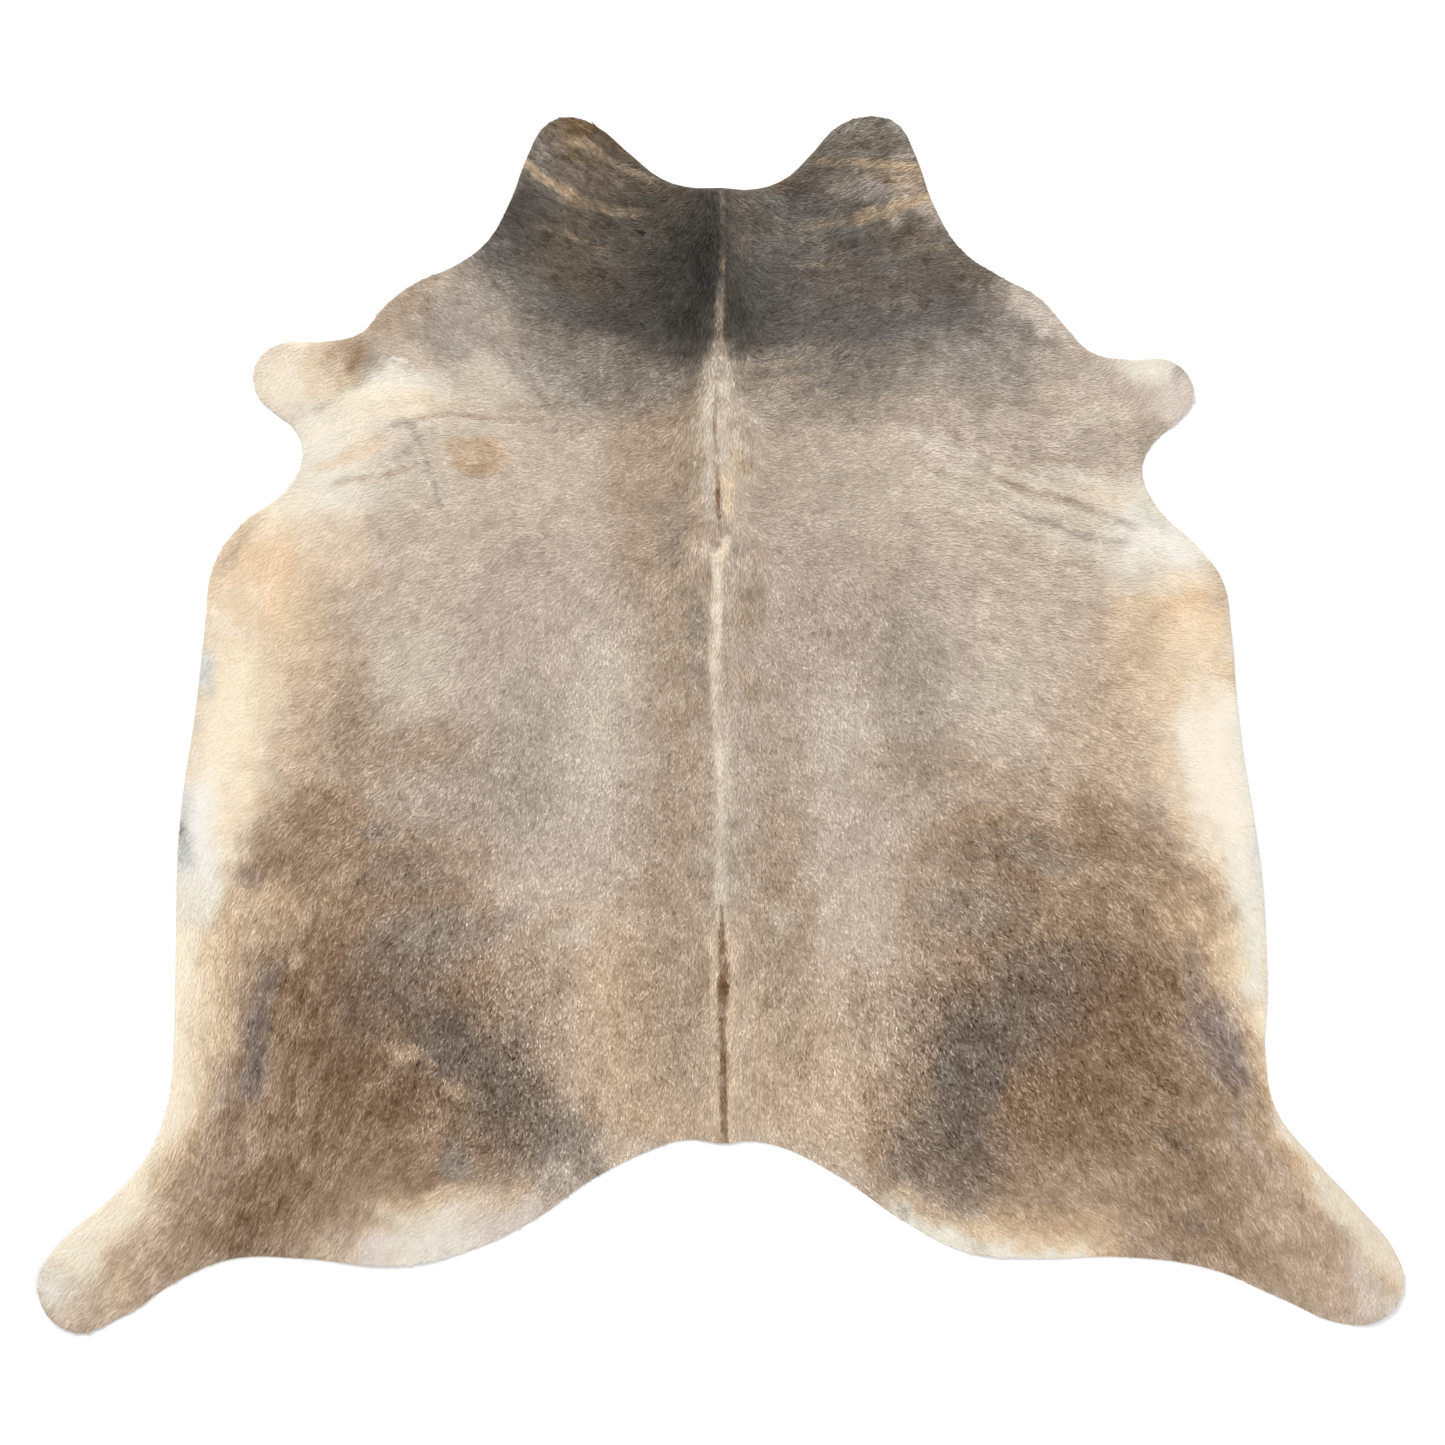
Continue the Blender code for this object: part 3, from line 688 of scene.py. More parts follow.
    ("right_chest_glow", "ivory", 0.6, 706, 272, 54, 24, -15),
    ("right_flank_rim", "shell", 0.7, 846, 150, 70, 24, 95),
    ("right_flank_rim_low", "bone", 0.8, 848, 92, 52, 26, 95),
    ("right_belt_glow", "shell", 0.8, 764, 24, 66, 30, 95),
    ("right_char_wide", "burnt", 0.65, 395, -590, 280, 130, 100),
    ("right_char_low", "burnt", 0.7, 320, -715, 100, 60, 110),
    ("right_char_fade", "ash", 0.45, 383, -578, 60, 45, 0),
    ("right_char_spot", "smoke", 0.5, 455, -600, 60, 42, 90),
    ("right_char_core", "smoke", 0.5, 395, -680, 170, 90, 95),
    ("right_char_top", "smoke", 0.65, 432, -535, 140, 90, 70),
    ("right_char_link", "burnt", 0.6, 520, -535, 110, 70, 20),
    ("right_char_side", "hazel", 0.6, 255, -680, 120, 50, 90),
    ("right_rump_side", "fawn", 0.6, 240, -450, 120, 60, 70),
    ("right_haunch_rust", "rust", 0.7, 630, -560, 220, 150, 30),
    ("right_haunch_low", "rust", 0.3, 570, -680, 140, 80, 0),
    ("right_haunch_fleck", "tan", 0.5, 640, -742, 130, 50, 0),
    ("right_haunch_spot", "cocoa", 0.5, 478, -642, 60, 45, 80),
    ("right_haunch_outer", "hazel", 0.7, 770, -670, 150, 80, 60),
    ("right_haunch_tan", "tan", 0.6, 580, -800, 160, 70, -10),
    ("right_mauve", "plum", 0.75, 832, -510, 180, 60, 108),
    ("right_buttock_cream", "bone", 0.6, 470, -875, 150, 45, -8),
    ("right_buttock_warm", "honey", 0.6, 590, -865, 90, 26, 0),
    ("right_rump_pale", "shell", 0.7, 350, -830, 120, 36, -30),
    ("right_shank_neck", "camel", 0.7, 890, -650, 90, 36, 115),
    ("right_shank_body", "biscuit", 0.85, 960, -845, 240, 100, 122),
    ("right_shank_shade", "hazel", 0.7, 840, -880, 120, 45, -25),
    ("right_shank_outer", "rose", 0.45, 1060, -935, 80, 60, 90),
    ("right_char_ash", "ash", 1.0, 380, -578, 44, 28, 90),
    ("right_thigh_hazel", "hazel", 0.4, 670, -872, 46, 24, 0),
    ("right_thigh_cocoa", "cocoa", 0.45, 743, -876, 50, 26, -20),
    ("right_thigh_burnt", "burnt", 0.5, 745, -690, 60, 28, -30),
    ("right_thigh_burnt_low", "burnt", 0.45, 779, -808, 50, 28, -45),
    ("right_groin_rose", "rose", 0.45, 805, -324, 44, 24, 90),
    ("right_haunch_glow", "buff", 0.5, 848, -482, 44, 24, 90),
    ("right_shank_tip_pale", "ivory", 0.5, 1116, -938, 44, 24, 50),
]

# %% The courses that several streaks follow
# These are edges of the hide with a rim of pale hair.
LEFT_LEG = [(-893, -230), (-900, -330), (-904, -450), (-905, -560), (-917, -640), (-945, -705),
            (-985, -755), (-1035, -797), (-1085, -838), (-1118, -885)]
LEFT_THIGH = [(-894, -260), (-902, -390), (-905, -600)]
RIGHT_LEG = [(880, -180), (900, -330), (903, -430), (902, -520), (908, -590), (928, -652),
             (965, -712), (1012, -765), (1062, -812), (1104, -866), (1126, -925), (1118, -965)]
RIGHT_THIGH = [(878, -150), (893, -250), (900, -330), (903, -490)]
LEFT_BUTTOCK = [(-640, -884), (-560, -890), (-480, -890), (-400, -868), (-330, -830), (-265, -785)]
RIGHT_BUTTOCK = [(250, -785), (330, -835), (410, -875), (480, -888), (560, -890), (640, -888)]

# %% The streaks
# (streak, colour, strength, half_width, softness, wander, fade, course)
STREAKS = [
    # neck
    ("stripe_left_upper", "tan", 0.5, 3, 9, 0.2, 45,
     [(-285, 966), (-250, 964), (-225, 957), (-200, 941), (-165, 921), (-130, 905), (-95, 889),
      (-70, 880)]),
    ("stripe_left_upper_core", "tan", 0.5, 3, 8, 0.2, 30,
     [(-262, 962), (-225, 957), (-200, 941), (-170, 924)]),
    ("stripe_left_upper_two", "gold_brown", 0.6, 1, 7, 0.2, 30,
     [(-268, 940), (-235, 932), (-205, 928), (-180, 916)]),
    ("stripe_left", "tan", 0.5, 4, 9, 0.2, 60,
     [(-345, 948), (-300, 905), (-265, 887), (-240, 870), (-212, 858), (-180, 849), (-140, 843),
      (-100, 842)]),
    ("stripe_left_core", "camel", 0.7, 3, 9, 0.2, 40,
     [(-352, 952), (-320, 921), (-300, 905), (-280, 896), (-255, 881), (-228, 866)]),
    ("stripe_left_fan", "tan", 0.35, 3, 10, 0.2, 30, [(-280, 880), (-240, 858), (-200, 845)]),
    ("stripe_left_faint", "tan", 0.35, 1, 8, 0.2, 35,
     [(-335, 832), (-300, 822), (-260, 811), (-230, 799), (-195, 781), (-165, 770)]),
    ("stripe_left_faint_end", "tan", 0.4, 2, 8, 0.2, 14, [(-216, 788), (-178, 771)]),
    ("stripe_right_upper", "tan", 0.5, 3, 9, 0.2, 50,
     [(125, 936), (165, 932), (200, 927), (250, 927), (300, 924), (350, 916)]),
    ("stripe_right_upper_core", "camel", 0.7, 3, 8, 0.2, 35,
     [(205, 930), (250, 928), (290, 926), (355, 914)]),
    ("stripe_right_second", "fawn", 0.5, 5, 10, 0.2, 25, [(225, 908), (270, 906), (340, 904)]),
    ("stripe_right", "tan", 0.45, 4, 12, 0.2, 50,
     [(110, 820), (165, 826), (200, 833), (240, 842), (275, 850), (310, 861), (365, 875)]),
    ("stripe_right_core", "camel", 0.65, 4, 11, 0.2, 35,
     [(215, 836), (255, 846), (285, 855), (320, 866), (370, 877)]),
    ("stripe_right_fan", "tan", 0.45, 4, 10, 0.2, 25, [(195, 826), (235, 834), (275, 841), (305, 844)]),
    ("stripe_right_low", "tan", 0.3, 2, 9, 0.2, 30, [(125, 758), (170, 758), (215, 764)]),
    ("stripe_right_low_end", "tan", 0.32, 1, 8, 0.2, 40, [(215, 764), (270, 771), (330, 781), (410, 790)]),
    ("neck_fleck_upper", "charcoal", 0.85, 2, 4, 0.1, 0, [(-138, 814), (-128, 810)]),
    ("neck_fleck_lower", "charcoal", 0.8, 1, 4, 0.1, 0, [(-131, 661), (-129, 659)]),
    ("neck_fleck_right", "umber", 0.6, 1, 5, 0.1, 0, [(266, 897), (288, 896)]),
    # pale rims of the left leg
    ("left_shank_soft", "camel", 2.5, 44, 48, 0.7, 60, LEFT_LEG),
    ("left_thigh_soft", "camel", 2.5, 76, 56, 0.7, 90, LEFT_THIGH),
    ("left_shank_buff", "buff", 2.5, 24, 46, 0.7, 60, LEFT_LEG),
    ("left_thigh_buff", "buff", 2.5, 58, 46, 0.7, 90, LEFT_THIGH),
    ("left_shank_rim", "cream", 2.5, 8, 48, 0.7, 50, LEFT_LEG),
    ("left_shank_wide", "cream", 2.5, 20, 78, 0.7, 60,
     [(-950, -715), (-985, -755), (-1035, -797), (-1085, -838), (-1125, -895)]),
    ("left_groin_white", "milk", 1.4, 30, 40, 0.7, 60, [(-880, -150), (-890, -230), (-900, -330)]),
    # pale rims of the right leg
    ("right_leg_soft", "camel", 2.5, 20, 34, 0.7, 60, RIGHT_LEG),
    ("right_thigh_soft", "camel", 2.5, 82, 54, 0.7, 90, RIGHT_THIGH),
    ("right_leg_buff", "buff", 2.5, 5, 28, 0.7, 60, RIGHT_LEG),
    ("right_thigh_buff", "buff", 2.5, 58, 42, 0.7, 90, RIGHT_THIGH),
    ("right_thigh_rim", "ivory", 2.5, 24, 40, 0.7, 80, RIGHT_THIGH),
    ("right_shank_rim", "shell", 2.5, 0, 18, 0.7, 50, RIGHT_LEG),
    ("right_shank_wide", "shell", 2.5, 22, 34, 0.7, 60,
     [(965, -712), (1012, -765), (1062, -812), (1104, -866), (1126, -925)]),
    ("right_groin_edge", "mist", 2.0, 0, 30, 0.6, 60, [(862, -70), (882, -190), (895, -300)]),
    # hem of the left buttock, and glints near it
    ("left_buttock_soft", "camel", 2.5, 42, 46, 0.8, 60, LEFT_BUTTOCK),
    ("left_buttock_wide", "camel", 2.5, 90, 48, 0.8, 90, [(-600, -895), (-450, -885), (-330, -845)]),
    ("left_buttock_glow", "shell", 2.5, 72, 42, 0.8, 110, [(-610, -895), (-450, -885), (-310, -835)]),
    ("left_buttock_rim", "rose", 2.2, 22, 44, 0.8, 60, LEFT_BUTTOCK),
    ("left_buttock_ivory", "ivory", 0.9, 20, 44, 0.8, 60, [(-580, -895), (-450, -885), (-360, -855)]),
    ("left_tip_glow_line", "ivory", 1.0, 10, 22, 0.6, 20, [(-1125, -943), (-1106, -968)]),
    ("left_shank_lift", "ivory", 0.4, 20, 50, 0.6, 60, [(-1105, -905), (-1060, -880), (-1000, -865)]),
    ("left_shank_haze", "buff", 0.35, 10, 44, 0.6, 60, [(-1030, -930), (-978, -880), (-920, -800)]),
    ("left_buttock_glow_line", "buff", 0.6, 8, 26, 0.8, 30, [(-520, -783), (-450, -790)]),
    ("left_hem_shade_line", "buff", 0.45, 5, 22, 0.6, 20, [(-555, -889), (-510, -885)]),
    ("left_hem_milk_line", "milk", 0.9, 8, 32, 0.8, 34, [(-505, -838), (-425, -824)]),
    ("left_thigh_glow_line", "cream", 0.42, 10, 30, 0.7, 60,
     [(-868, -380), (-868, -520), (-878, -610), (-900, -690)]),
    ("right_thigh_glow_two", "buff", 0.6, 6, 22, 0.7, 40, [(868, -440), (874, -500), (884, -565)]),
    ("right_groin_warm", "honey", 0.45, 6, 22, 0.7, 30, [(858, -360), (864, -435)]),
    # hem of the right buttock
    ("right_buttock_soft", "camel", 2.2, 24, 34, 0.8, 60, RIGHT_BUTTOCK),
    ("right_buttock_wide", "camel", 2.5, 64, 48, 0.8, 80,
     [(390, -872), (480, -888), (560, -890), (690, -890)]),
    ("right_buttock_glow", "buff", 2.5, 34, 38, 0.8, 80,
     [(360, -850), (410, -872), (480, -888), (560, -890), (660, -890)]),
    ("right_buttock_rim", "ivory", 2.2, 8, 32, 0.8, 60, RIGHT_BUTTOCK),
    # left belly
    ("left_light_band", "camel", 0.35, 14, 50, 0.8, 40,
     [(-810, -340), (-740, -302), (-660, -275), (-570, -235)]),
    ("left_belt_soft", "buff", 2.5, 30, 72, 1.3, 80,
     [(-802, 175), (-814, 50), (-832, -60), (-850, -130), (-866, -210)]),
    ("left_belt_low", "buff", 2.5, 32, 50, 0.9, 90,
     [(-846, -110), (-856, -180), (-866, -240), (-878, -360)]),
    ("left_belt", "butter", 2.5, 18, 68, 1.3, 80,
     [(-802, 170), (-814, 50), (-832, -60), (-852, -130), (-866, -210)]),
    ("left_belt_low_cream", "ivory", 2.5, 20, 44, 0.9, 70,
     [(-850, -110), (-860, -180), (-872, -240), (-882, -360)]),
    ("left_belt_wide", "butter", 0.8, 8, 34, 0.9, 40, [(-806, -90), (-812, -160), (-826, -235)]),
    ("left_belt_bite_low", "camel", 0.35, 4, 24, 0.6, 30, [(-820, -285), (-832, -350)]),
    ("left_belt_foot", "buff", 0.4, 8, 30, 0.7, 30, [(-800, -330), (-785, -385)]),
    ("left_belt_milk", "milk", 2.5, 12, 50, 0.8, 80, [(-848, -50), (-862, -140), (-876, -290)]),
    ("left_belt_honey", "honey", 0.5, 6, 30, 0.8, 20, [(-800, 215), (-812, 170)]),
    ("left_belt_rim", "shell", 0.9, 3, 30, 0.6, 60, [(-848, 130), (-860, 30), (-872, -70), (-880, -130)]),
    ("left_belt_grey", "mist", 1.0, 4, 22, 0.6, 36, [(-850, 150), (-858, 90), (-866, 40)]),
    ("left_belt_grey_low", "mist", 2.0, 4, 34, 0.6, 50, [(-884, -80), (-892, -170), (-897, -270)]),
    ("left_belt_bite", "camel", 0.6, 4, 22, 0.5, 24, [(-758, -100), (-770, -148)]),
    ("left_edge_spot", "dove", 0.6, 3, 16, 0.6, 25, [(-889, -140), (-892, -215)]),
    # right belly
    ("right_belt_soft", "buff", 2.5, 48, 60, 0.9, 50,
     [(794, 130), (808, -20), (832, -120), (862, -200), (868, -225)]),
    ("right_belt", "shell", 2.5, 38, 52, 0.9, 50,
     [(806, 50), (812, -20), (836, -120), (866, -200), (872, -225)]),
    ("right_belt_cream", "pearl", 2.5, 30, 48, 0.9, 60,
     [(800, 60), (810, -20), (834, -120), (862, -200), (874, -250)]),
    ("right_belt_low", "ivory", 2.5, 20, 36, 0.8, 40, [(864, -180), (874, -240), (884, -310)]),
    ("right_belt_bite", "tan", 0.35, 6, 24, 0.8, 20, [(768, -170), (760, -205)]),
    ("right_thigh_glow_line", "cream", 0.8, 4, 22, 0.5, 30, [(893, -450), (895, -535)]),
    ("right_thigh_bite", "tan", 0.5, 12, 24, 0.5, 20, [(884, -612), (902, -684)]),
    ("right_shank_bite", "camel", 0.7, 4, 22, 0.5, 24, [(954, -745), (1000, -804)]),
    ("right_hem_bite", "mushroom", 0.75, 6, 22, 0.5, 20, [(276, -794), (314, -822)]),
    ("right_hem_bite_low", "oat", 0.8, 4, 20, 0.5, 20, [(394, -862), (440, -876)]),
    ("right_groin_bite", "camel", 0.7, 4, 22, 0.5, 16, [(816, -264), (832, -294)]),
    ("right_belt_pink", "pearl", 0.5, 16, 44, 1.2, 20, [(750, 64), (776, 58), (806, 40)]),
    ("right_belt_milk", "pearl", 2.5, 2, 30, 0.8, 60,
     [(812, 90), (832, -20), (852, -110), (872, -210), (886, -290)]),
    ("right_belt_rim", "ivory", 1.1, 6, 34, 0.6, 60, [(856, 70), (862, -40), (872, -150), (880, -260)]),
    ("right_belt_grey", "mist", 0.5, 3, 24, 0.6, 50, [(880, -150), (888, -230), (892, -300)]),
    ("right_belt_bite_low", "fawn", 0.5, 6, 28, 0.6, 30, [(824, -250), (830, -340)]),
    # left thigh
    ("left_mauve_line", "plum", 0.6, 4, 24, 0.4, 40,
     [(-736, -375), (-752, -450), (-768, -530), (-784, -630)]),
    ("left_mauve_core", "smoke", 0.45, 3, 18, 0.4, 30, [(-757, -470), (-768, -540), (-778, -610)]),
    # left shoulder
    ("left_white_mark", "milk", 0.85, 1, 4, 0.1, 0, [(-545, 606), (-520, 600)]),
    ("left_oval_upper", "camel", 0.6, 6, 12, 0.3, 12, [(-462, 454), (-425, 462), (-395, 463), (-350, 455)]),
    ("left_oval_lower", "camel", 0.6, 7, 12, 0.3, 12, [(-452, 436), (-410, 428), (-375, 430), (-340, 442)]),
    ("left_oval_dark", "hazel", 0.35, 5, 12, 0.3, 0, [(-414, 419), (-405, 426), (-385, 428)]),
    # wrinkles of the left shoulder: these darker lines are painted shade in the creases, over the darker
    # roots that show in them
    ("left_wrinkle_upper", "plum", 0.42, 1, 9, 0.1, 30,
     [(-585, 474), (-562, 484), (-545, 491), (-525, 500), (-500, 503)]),
    ("left_wrinkle_upper_end", "hazel", 0.45, 1, 7, 0.1, 30,
     [(-520, 502), (-480, 508), (-450, 511), (-415, 510), (-370, 505), (-290, 499)]),
    ("left_wrinkle_knot", "ash", 0.4, 3, 6, 0.1, 0, [(-516, 495), (-507, 493)]),
    ("left_wrinkle_upright", "ash", 0.3, 1, 8, 0.1, 15,
     [(-512, 498), (-502, 475), (-494, 458), (-488, 438), (-483, 418)]),
    ("left_wrinkle_upright_dark", "ash", 0.4, 1, 8, 0.1, 12, [(-487, 438), (-481, 402)]),
    ("left_wrinkle_upright_low", "ash", 0.3, 1, 6, 0.1, 20, [(-480, 410), (-470, 393), (-462, 340)]),
    ("left_wrinkle_grey", "dove", 0.35, 6, 14, 0.3, 0, [(-548, 440), (-524, 455)]),
    ("left_wrinkle_low", "hazel", 0.26, 1, 11, 0.2, 45,
     [(-665, 384), (-645, 392), (-620, 404), (-592, 405), (-570, 410), (-535, 418), (-480, 427)]),
    ("left_wrinkle_low_core", "hazel", 0.3, 1, 5, 0.1, 0, [(-596, 405), (-590, 405)]),
    ("left_wrinkle_low_dark", "cocoa", 0.28, 1, 8, 0.1, 20,
     [(-570, 409), (-548, 415), (-532, 419), (-510, 422)]),
    ("left_wrinkle_short", "taupe", 0.15, 1, 8, 0.1, 16,
     [(-640, 444), (-605, 458), (-575, 470), (-545, 476)]),
    ("left_wrinkle_leg", "taupe", 0.3, 2, 9, 0.1, 20, [(-720, 500), (-690, 508), (-660, 522), (-635, 540)]),
    # pale lines between the wrinkles: painted highlights on their ridges
    ("left_elbow_pale", "cream", 0.55, 4, 12, 0.2, 30,
     [(-700, 466), (-660, 482), (-610, 500), (-544, 512), (-469, 521)]),
    ("left_elbow_warm", "honey", 0.55, 3, 10, 0.2, 25,
     [(-675, 418), (-640, 432), (-602, 450), (-550, 466)]),
    ("left_elbow_pale_two", "cream", 0.4, 2, 9, 0.2, 25,
     [(-660, 452), (-620, 466), (-575, 484), (-530, 494)]),
    # folds in front of the withers: the ash lines are painted shade in the folds, the paler lines painted
    # highlights on their ridges
    ("fold_left_one", "mushroom", 0.3, 3, 9, 0.2, 35, [(-150, 592), (-95, 577), (-40, 570)]),
    ("fold_left_two", "mushroom", 0.3, 3, 8, 0.2, 35, [(-150, 548), (-95, 540), (-40, 540)]),
    ("fold_left_shade", "ash", 0.35, 1, 9, 0.2, 35, [(-150, 566), (-100, 556), (-40, 554)]),
    ("fold_right_one", "camel", 0.25, 2, 9, 0.2, 35, [(18, 592), (80, 590), (150, 598)]),
    ("fold_right_two", "camel", 0.25, 2, 9, 0.2, 35, [(22, 560), (90, 564), (180, 574)]),
    ("fold_right_shade", "ash", 0.3, 1, 9, 0.2, 35, [(20, 576), (90, 578), (170, 587)]),
    ("fold_left_long", "ash", 0.3, 1, 8, 0.2, 40, [(-345, 600), (-318, 570), (-295, 540), (-278, 505)]),
    # right shoulder
    ("right_white_mark", "milk", 0.75, 0, 5, 0.1, 0, [(498, 416), (514, 411)]),
    # wrinkles of the right shoulder: the darker lines are painted shade in the creases, over the darker
    # roots that show in them, and the shell and bone lines are painted highlights on the ridges between
    # them
    ("right_wrinkle_start", "fawn", 0.3, 2, 9, 0.2, 30,
     [(350, 452), (393, 434), (455, 409), (490, 392), (520, 382)]),
    ("right_wrinkle", "hazel", 0.34, 1, 10, 0.2, 45,
     [(430, 420), (505, 389), (548, 375), (602, 358), (640, 346)]),
    ("right_wrinkle_end", "ash", 0.36, 2, 9, 0.2, 45,
     [(545, 374), (602, 356), (640, 344), (675, 331), (705, 320)]),
    ("right_wrinkle_pale", "shell", 0.5, 2, 8, 0.2, 45,
     [(300, 482), (380, 456), (450, 430), (520, 402), (590, 378), (650, 360)]),
    ("right_wrinkle_pale_two", "shell", 0.45, 2, 8, 0.2, 40,
     [(420, 404), (500, 374), (570, 350), (650, 322)]),
    ("right_wrinkle_pale_three", "bone", 0.3, 3, 8, 0.1, 40,
     [(440, 358), (520, 326), (600, 296), (680, 272)]),
    ("right_wrinkle_two_start", "fawn", 0.4, 1, 7, 0.2, 30,
     [(415, 378), (470, 356), (500, 344), (545, 329)]),
    ("right_wrinkle_two", "ash", 0.33, 1, 9, 0.2, 35,
     [(470, 358), (520, 338), (552, 327), (575, 317), (600, 308)]),
    ("right_wrinkle_two_end", "dove", 0.38, 1, 9, 0.2, 30,
     [(570, 318), (605, 307), (640, 303), (685, 300)]),
    ("right_wrinkle_three", "taupe", 0.35, 2, 9, 0.1, 35, [(320, 432), (380, 411), (430, 396), (490, 368)]),
    ("right_wrinkle_four", "taupe", 0.35, 2, 10, 0.1, 35, [(450, 308), (500, 284), (560, 270), (640, 260)]),
    ("right_wrinkle_five", "mushroom", 0.4, 2, 10, 0.1, 35,
     [(340, 460), (420, 436), (480, 420), (560, 400)]),
    # spine
    ("neck_line", "fawn", 0.3, 2, 5, 0.1, 20, [(3, 895), (2, 760), (-2, 700), (-4, 600)]),
    ("neck_line_low", "fawn", 0.3, 2, 5, 0.1, 40, [(0, 800), (-2, 700), (-4, 600)]),
    ("neck_line_pale", "taupe", 0.5, 4, 7, 0.1, 30, [(0, 745), (-3, 690), (-5, 640), (-5, 580)]),
    ("spine_flare", "taupe", 0.6, 10, 24, 0.3, 0, [(-4, 612), (-5, 560)]),
    ("spine_cream", "oat", 0.9, 12, 20, 0.3, 0, [(-6, 585), (-6, 500), (-6, 430)]),
    ("spine_flare_left", "oat", 0.8, 5, 16, 0.3, 20, [(-20, 440), (-20, 400), (-15, 360), (-12, 330)]),
    ("spine_flare_right", "buff", 0.85, 5, 14, 0.3, 20, [(10, 440), (9, 400), (8, 350), (8, 330)]),
    ("spine_flare_warm", "camel", 0.5, 4, 18, 0.3, 0, [(30, 445), (36, 425)]),
    ("spine_groove_faint", "fawn", 0.7, 0, 6, 0.1, 15, [(-8, 570), (-8, 520), (-8, 440)]),
    ("spine_groove_dash", "hazel", 0.7, 1, 4, 0.1, 8, [(-8, 514), (-8, 480)]),
    ("spine_groove", "cocoa", 0.85, 1, 5, 0.1, 10, [(-7, 435), (-6, 400), (-5, 360)]),
    ("spine_groove_core", "umber", 0.85, 2, 4, 0.1, 0, [(-6, 385), (-5, 342)]),
    ("spine_groove_end", "hazel", 0.6, 0, 5, 0.1, 8, [(-5, 340), (-3, 318), (2, 306)]),
    ("spine_knot", "cream", 0.8, 3, 8, 0.1, 0, [(8, 304), (7, 292)]),
    ("spine_line_top", "buff", 0.8, 2, 9, 0.1, 0, [(6, 290), (-2, 270), (-7, 245)]),
    ("spine_line", "shell", 0.9, 5, 9, 0.1, 0, [(-8, 280), (-7, 200), (-10, 140), (-10, 70), (-6, 30)]),
    ("spine_line_soft", "oat", 0.8, 8, 14, 0.1, 0, [(-3, 40), (2, -20), (5, -100), (4, -140)]),
    ("spine_line_core", "shell", 0.7, 2, 7, 0.1, 25,
     [(-5, 30), (-3, -40), (-1, -120), (0, -200), (1, -290)]),
    ("spine_line_low", "oat", 0.75, 6, 9, 0.1, 20, [(0, -130), (0, -200), (2, -290), (3, -350)]),
    ("spine_bank_left", "buff", 0.6, 3, 9, 0.1, 30, [(-12, -330), (-12, -450), (-12, -560), (-10, -680)]),
    ("spine_bank_right", "buff", 0.55, 3, 9, 0.1, 30, [(17, -330), (18, -450), (18, -560), (18, -680)]),
    ("spine_umber", "cocoa", 0.65, 3, 6, 0.1, 0, [(2, -330), (3, -400), (3, -500), (4, -600), (5, -692)]),
    ("spine_umber_start", "rust", 0.7, 0, 5, 0.1, 0, [(1, -300), (2, -345), (3, -380)]),
    ("spine_umber_wide", "umber", 0.7, 6, 6, 0.1, 0, [(4, -378), (4, -420), (3, -455)]),
    ("spine_umber_core", "umber", 0.5, 2, 5, 0.1, 0,
     [(3, -362), (4, -480), (4, -560), (5, -640), (5, -692)]),
]

# %% Write the colours on the sheet
def paint_points(mesh, colours):
    """Stores one linear colour for each point as the attribute coat."""
    layer = mesh.color_attributes.new("coat", "FLOAT_COLOR", "POINT")
    values = np.ones((len(mesh.vertices), 4), np.float32)
    values[:, :3] = colours
    layer.data.foreach_set("color", values.ravel())


def finish_piece(name, mesh, materials):
    """Makes the object, joins it to the hide's body and gives it its materials."""
    piece = bpy.data.objects.new(name, mesh)
    bpy.context.collection.objects.link(piece)
    for material in materials:
        mesh.materials.append(material)
    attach(piece, "root")
    return piece


sheet_data = bpy.data.meshes.new("hide_sheet")
sheet_mesh.to_mesh(sheet_data)
sheet_data.shade_smooth()
at = np.empty(len(sheet_data.vertices) * 3)
sheet_data.vertices.foreach_get("co", at)
at = at.reshape(-1, 3)
paint_points(sheet_data, screen_to_linear(coat_colour(at[:, 0] / MM, at[:, 1] / MM)))
print("painted", len(at), "points of the sheet")

# %% [markdown]
# ## Materials of the sheet
#
# Three finishes meet on the sheet. Between the hairs is skin in the coat's own colour, a little
# darker. The cut edge is raw leather, and the underside is its flesh side: a pale nap like
# suede. All three get their grain from noise on Object coordinates, so it stays on the hide.
#
# Every finish starts from a few nodes that are wired in the same way, so they are functions.

# %% Helpers for nodes
def set_inputs(node, values):
    """Sets sockets to values that are the same all over the surface."""
    for name, value in values.items():
        node.inputs[name].default_value = value


def object_noise(nodes, links, **settings):
    """A noise that stays on the piece, because it reads Object coordinates."""
    place = nodes.new("ShaderNodeTexCoord")
    noise = nodes.new("ShaderNodeTexNoise")
    set_inputs(noise, settings)
    links.new(place.outputs["Object"], noise.inputs["Vector"])
    return noise


def between(nodes, links, share, low, high):
    """A value between low and high, by a share that changes over the surface."""
    scale = nodes.new("ShaderNodeMapRange")
    set_inputs(scale, {"To Min": low, "To Max": high})
    links.new(share, scale.inputs["Value"])
    return scale.outputs["Result"]


# %% [markdown]
# Grain is needed more than once, so it is a node group: a noise with a size, which puts out the
# grain as a value and as a normal, and a roughness that changes with it.

# %% A node group for grain
GRAIN_SETTINGS = {"Size": 400.0, "Depth": 0.3, "Roughness Low": 0.6, "Roughness High": 0.9}
GRAIN_NOISE = {"Detail": 5.0, "Roughness": 0.62}
GRAIN_HEIGHT = 0.4 * MM


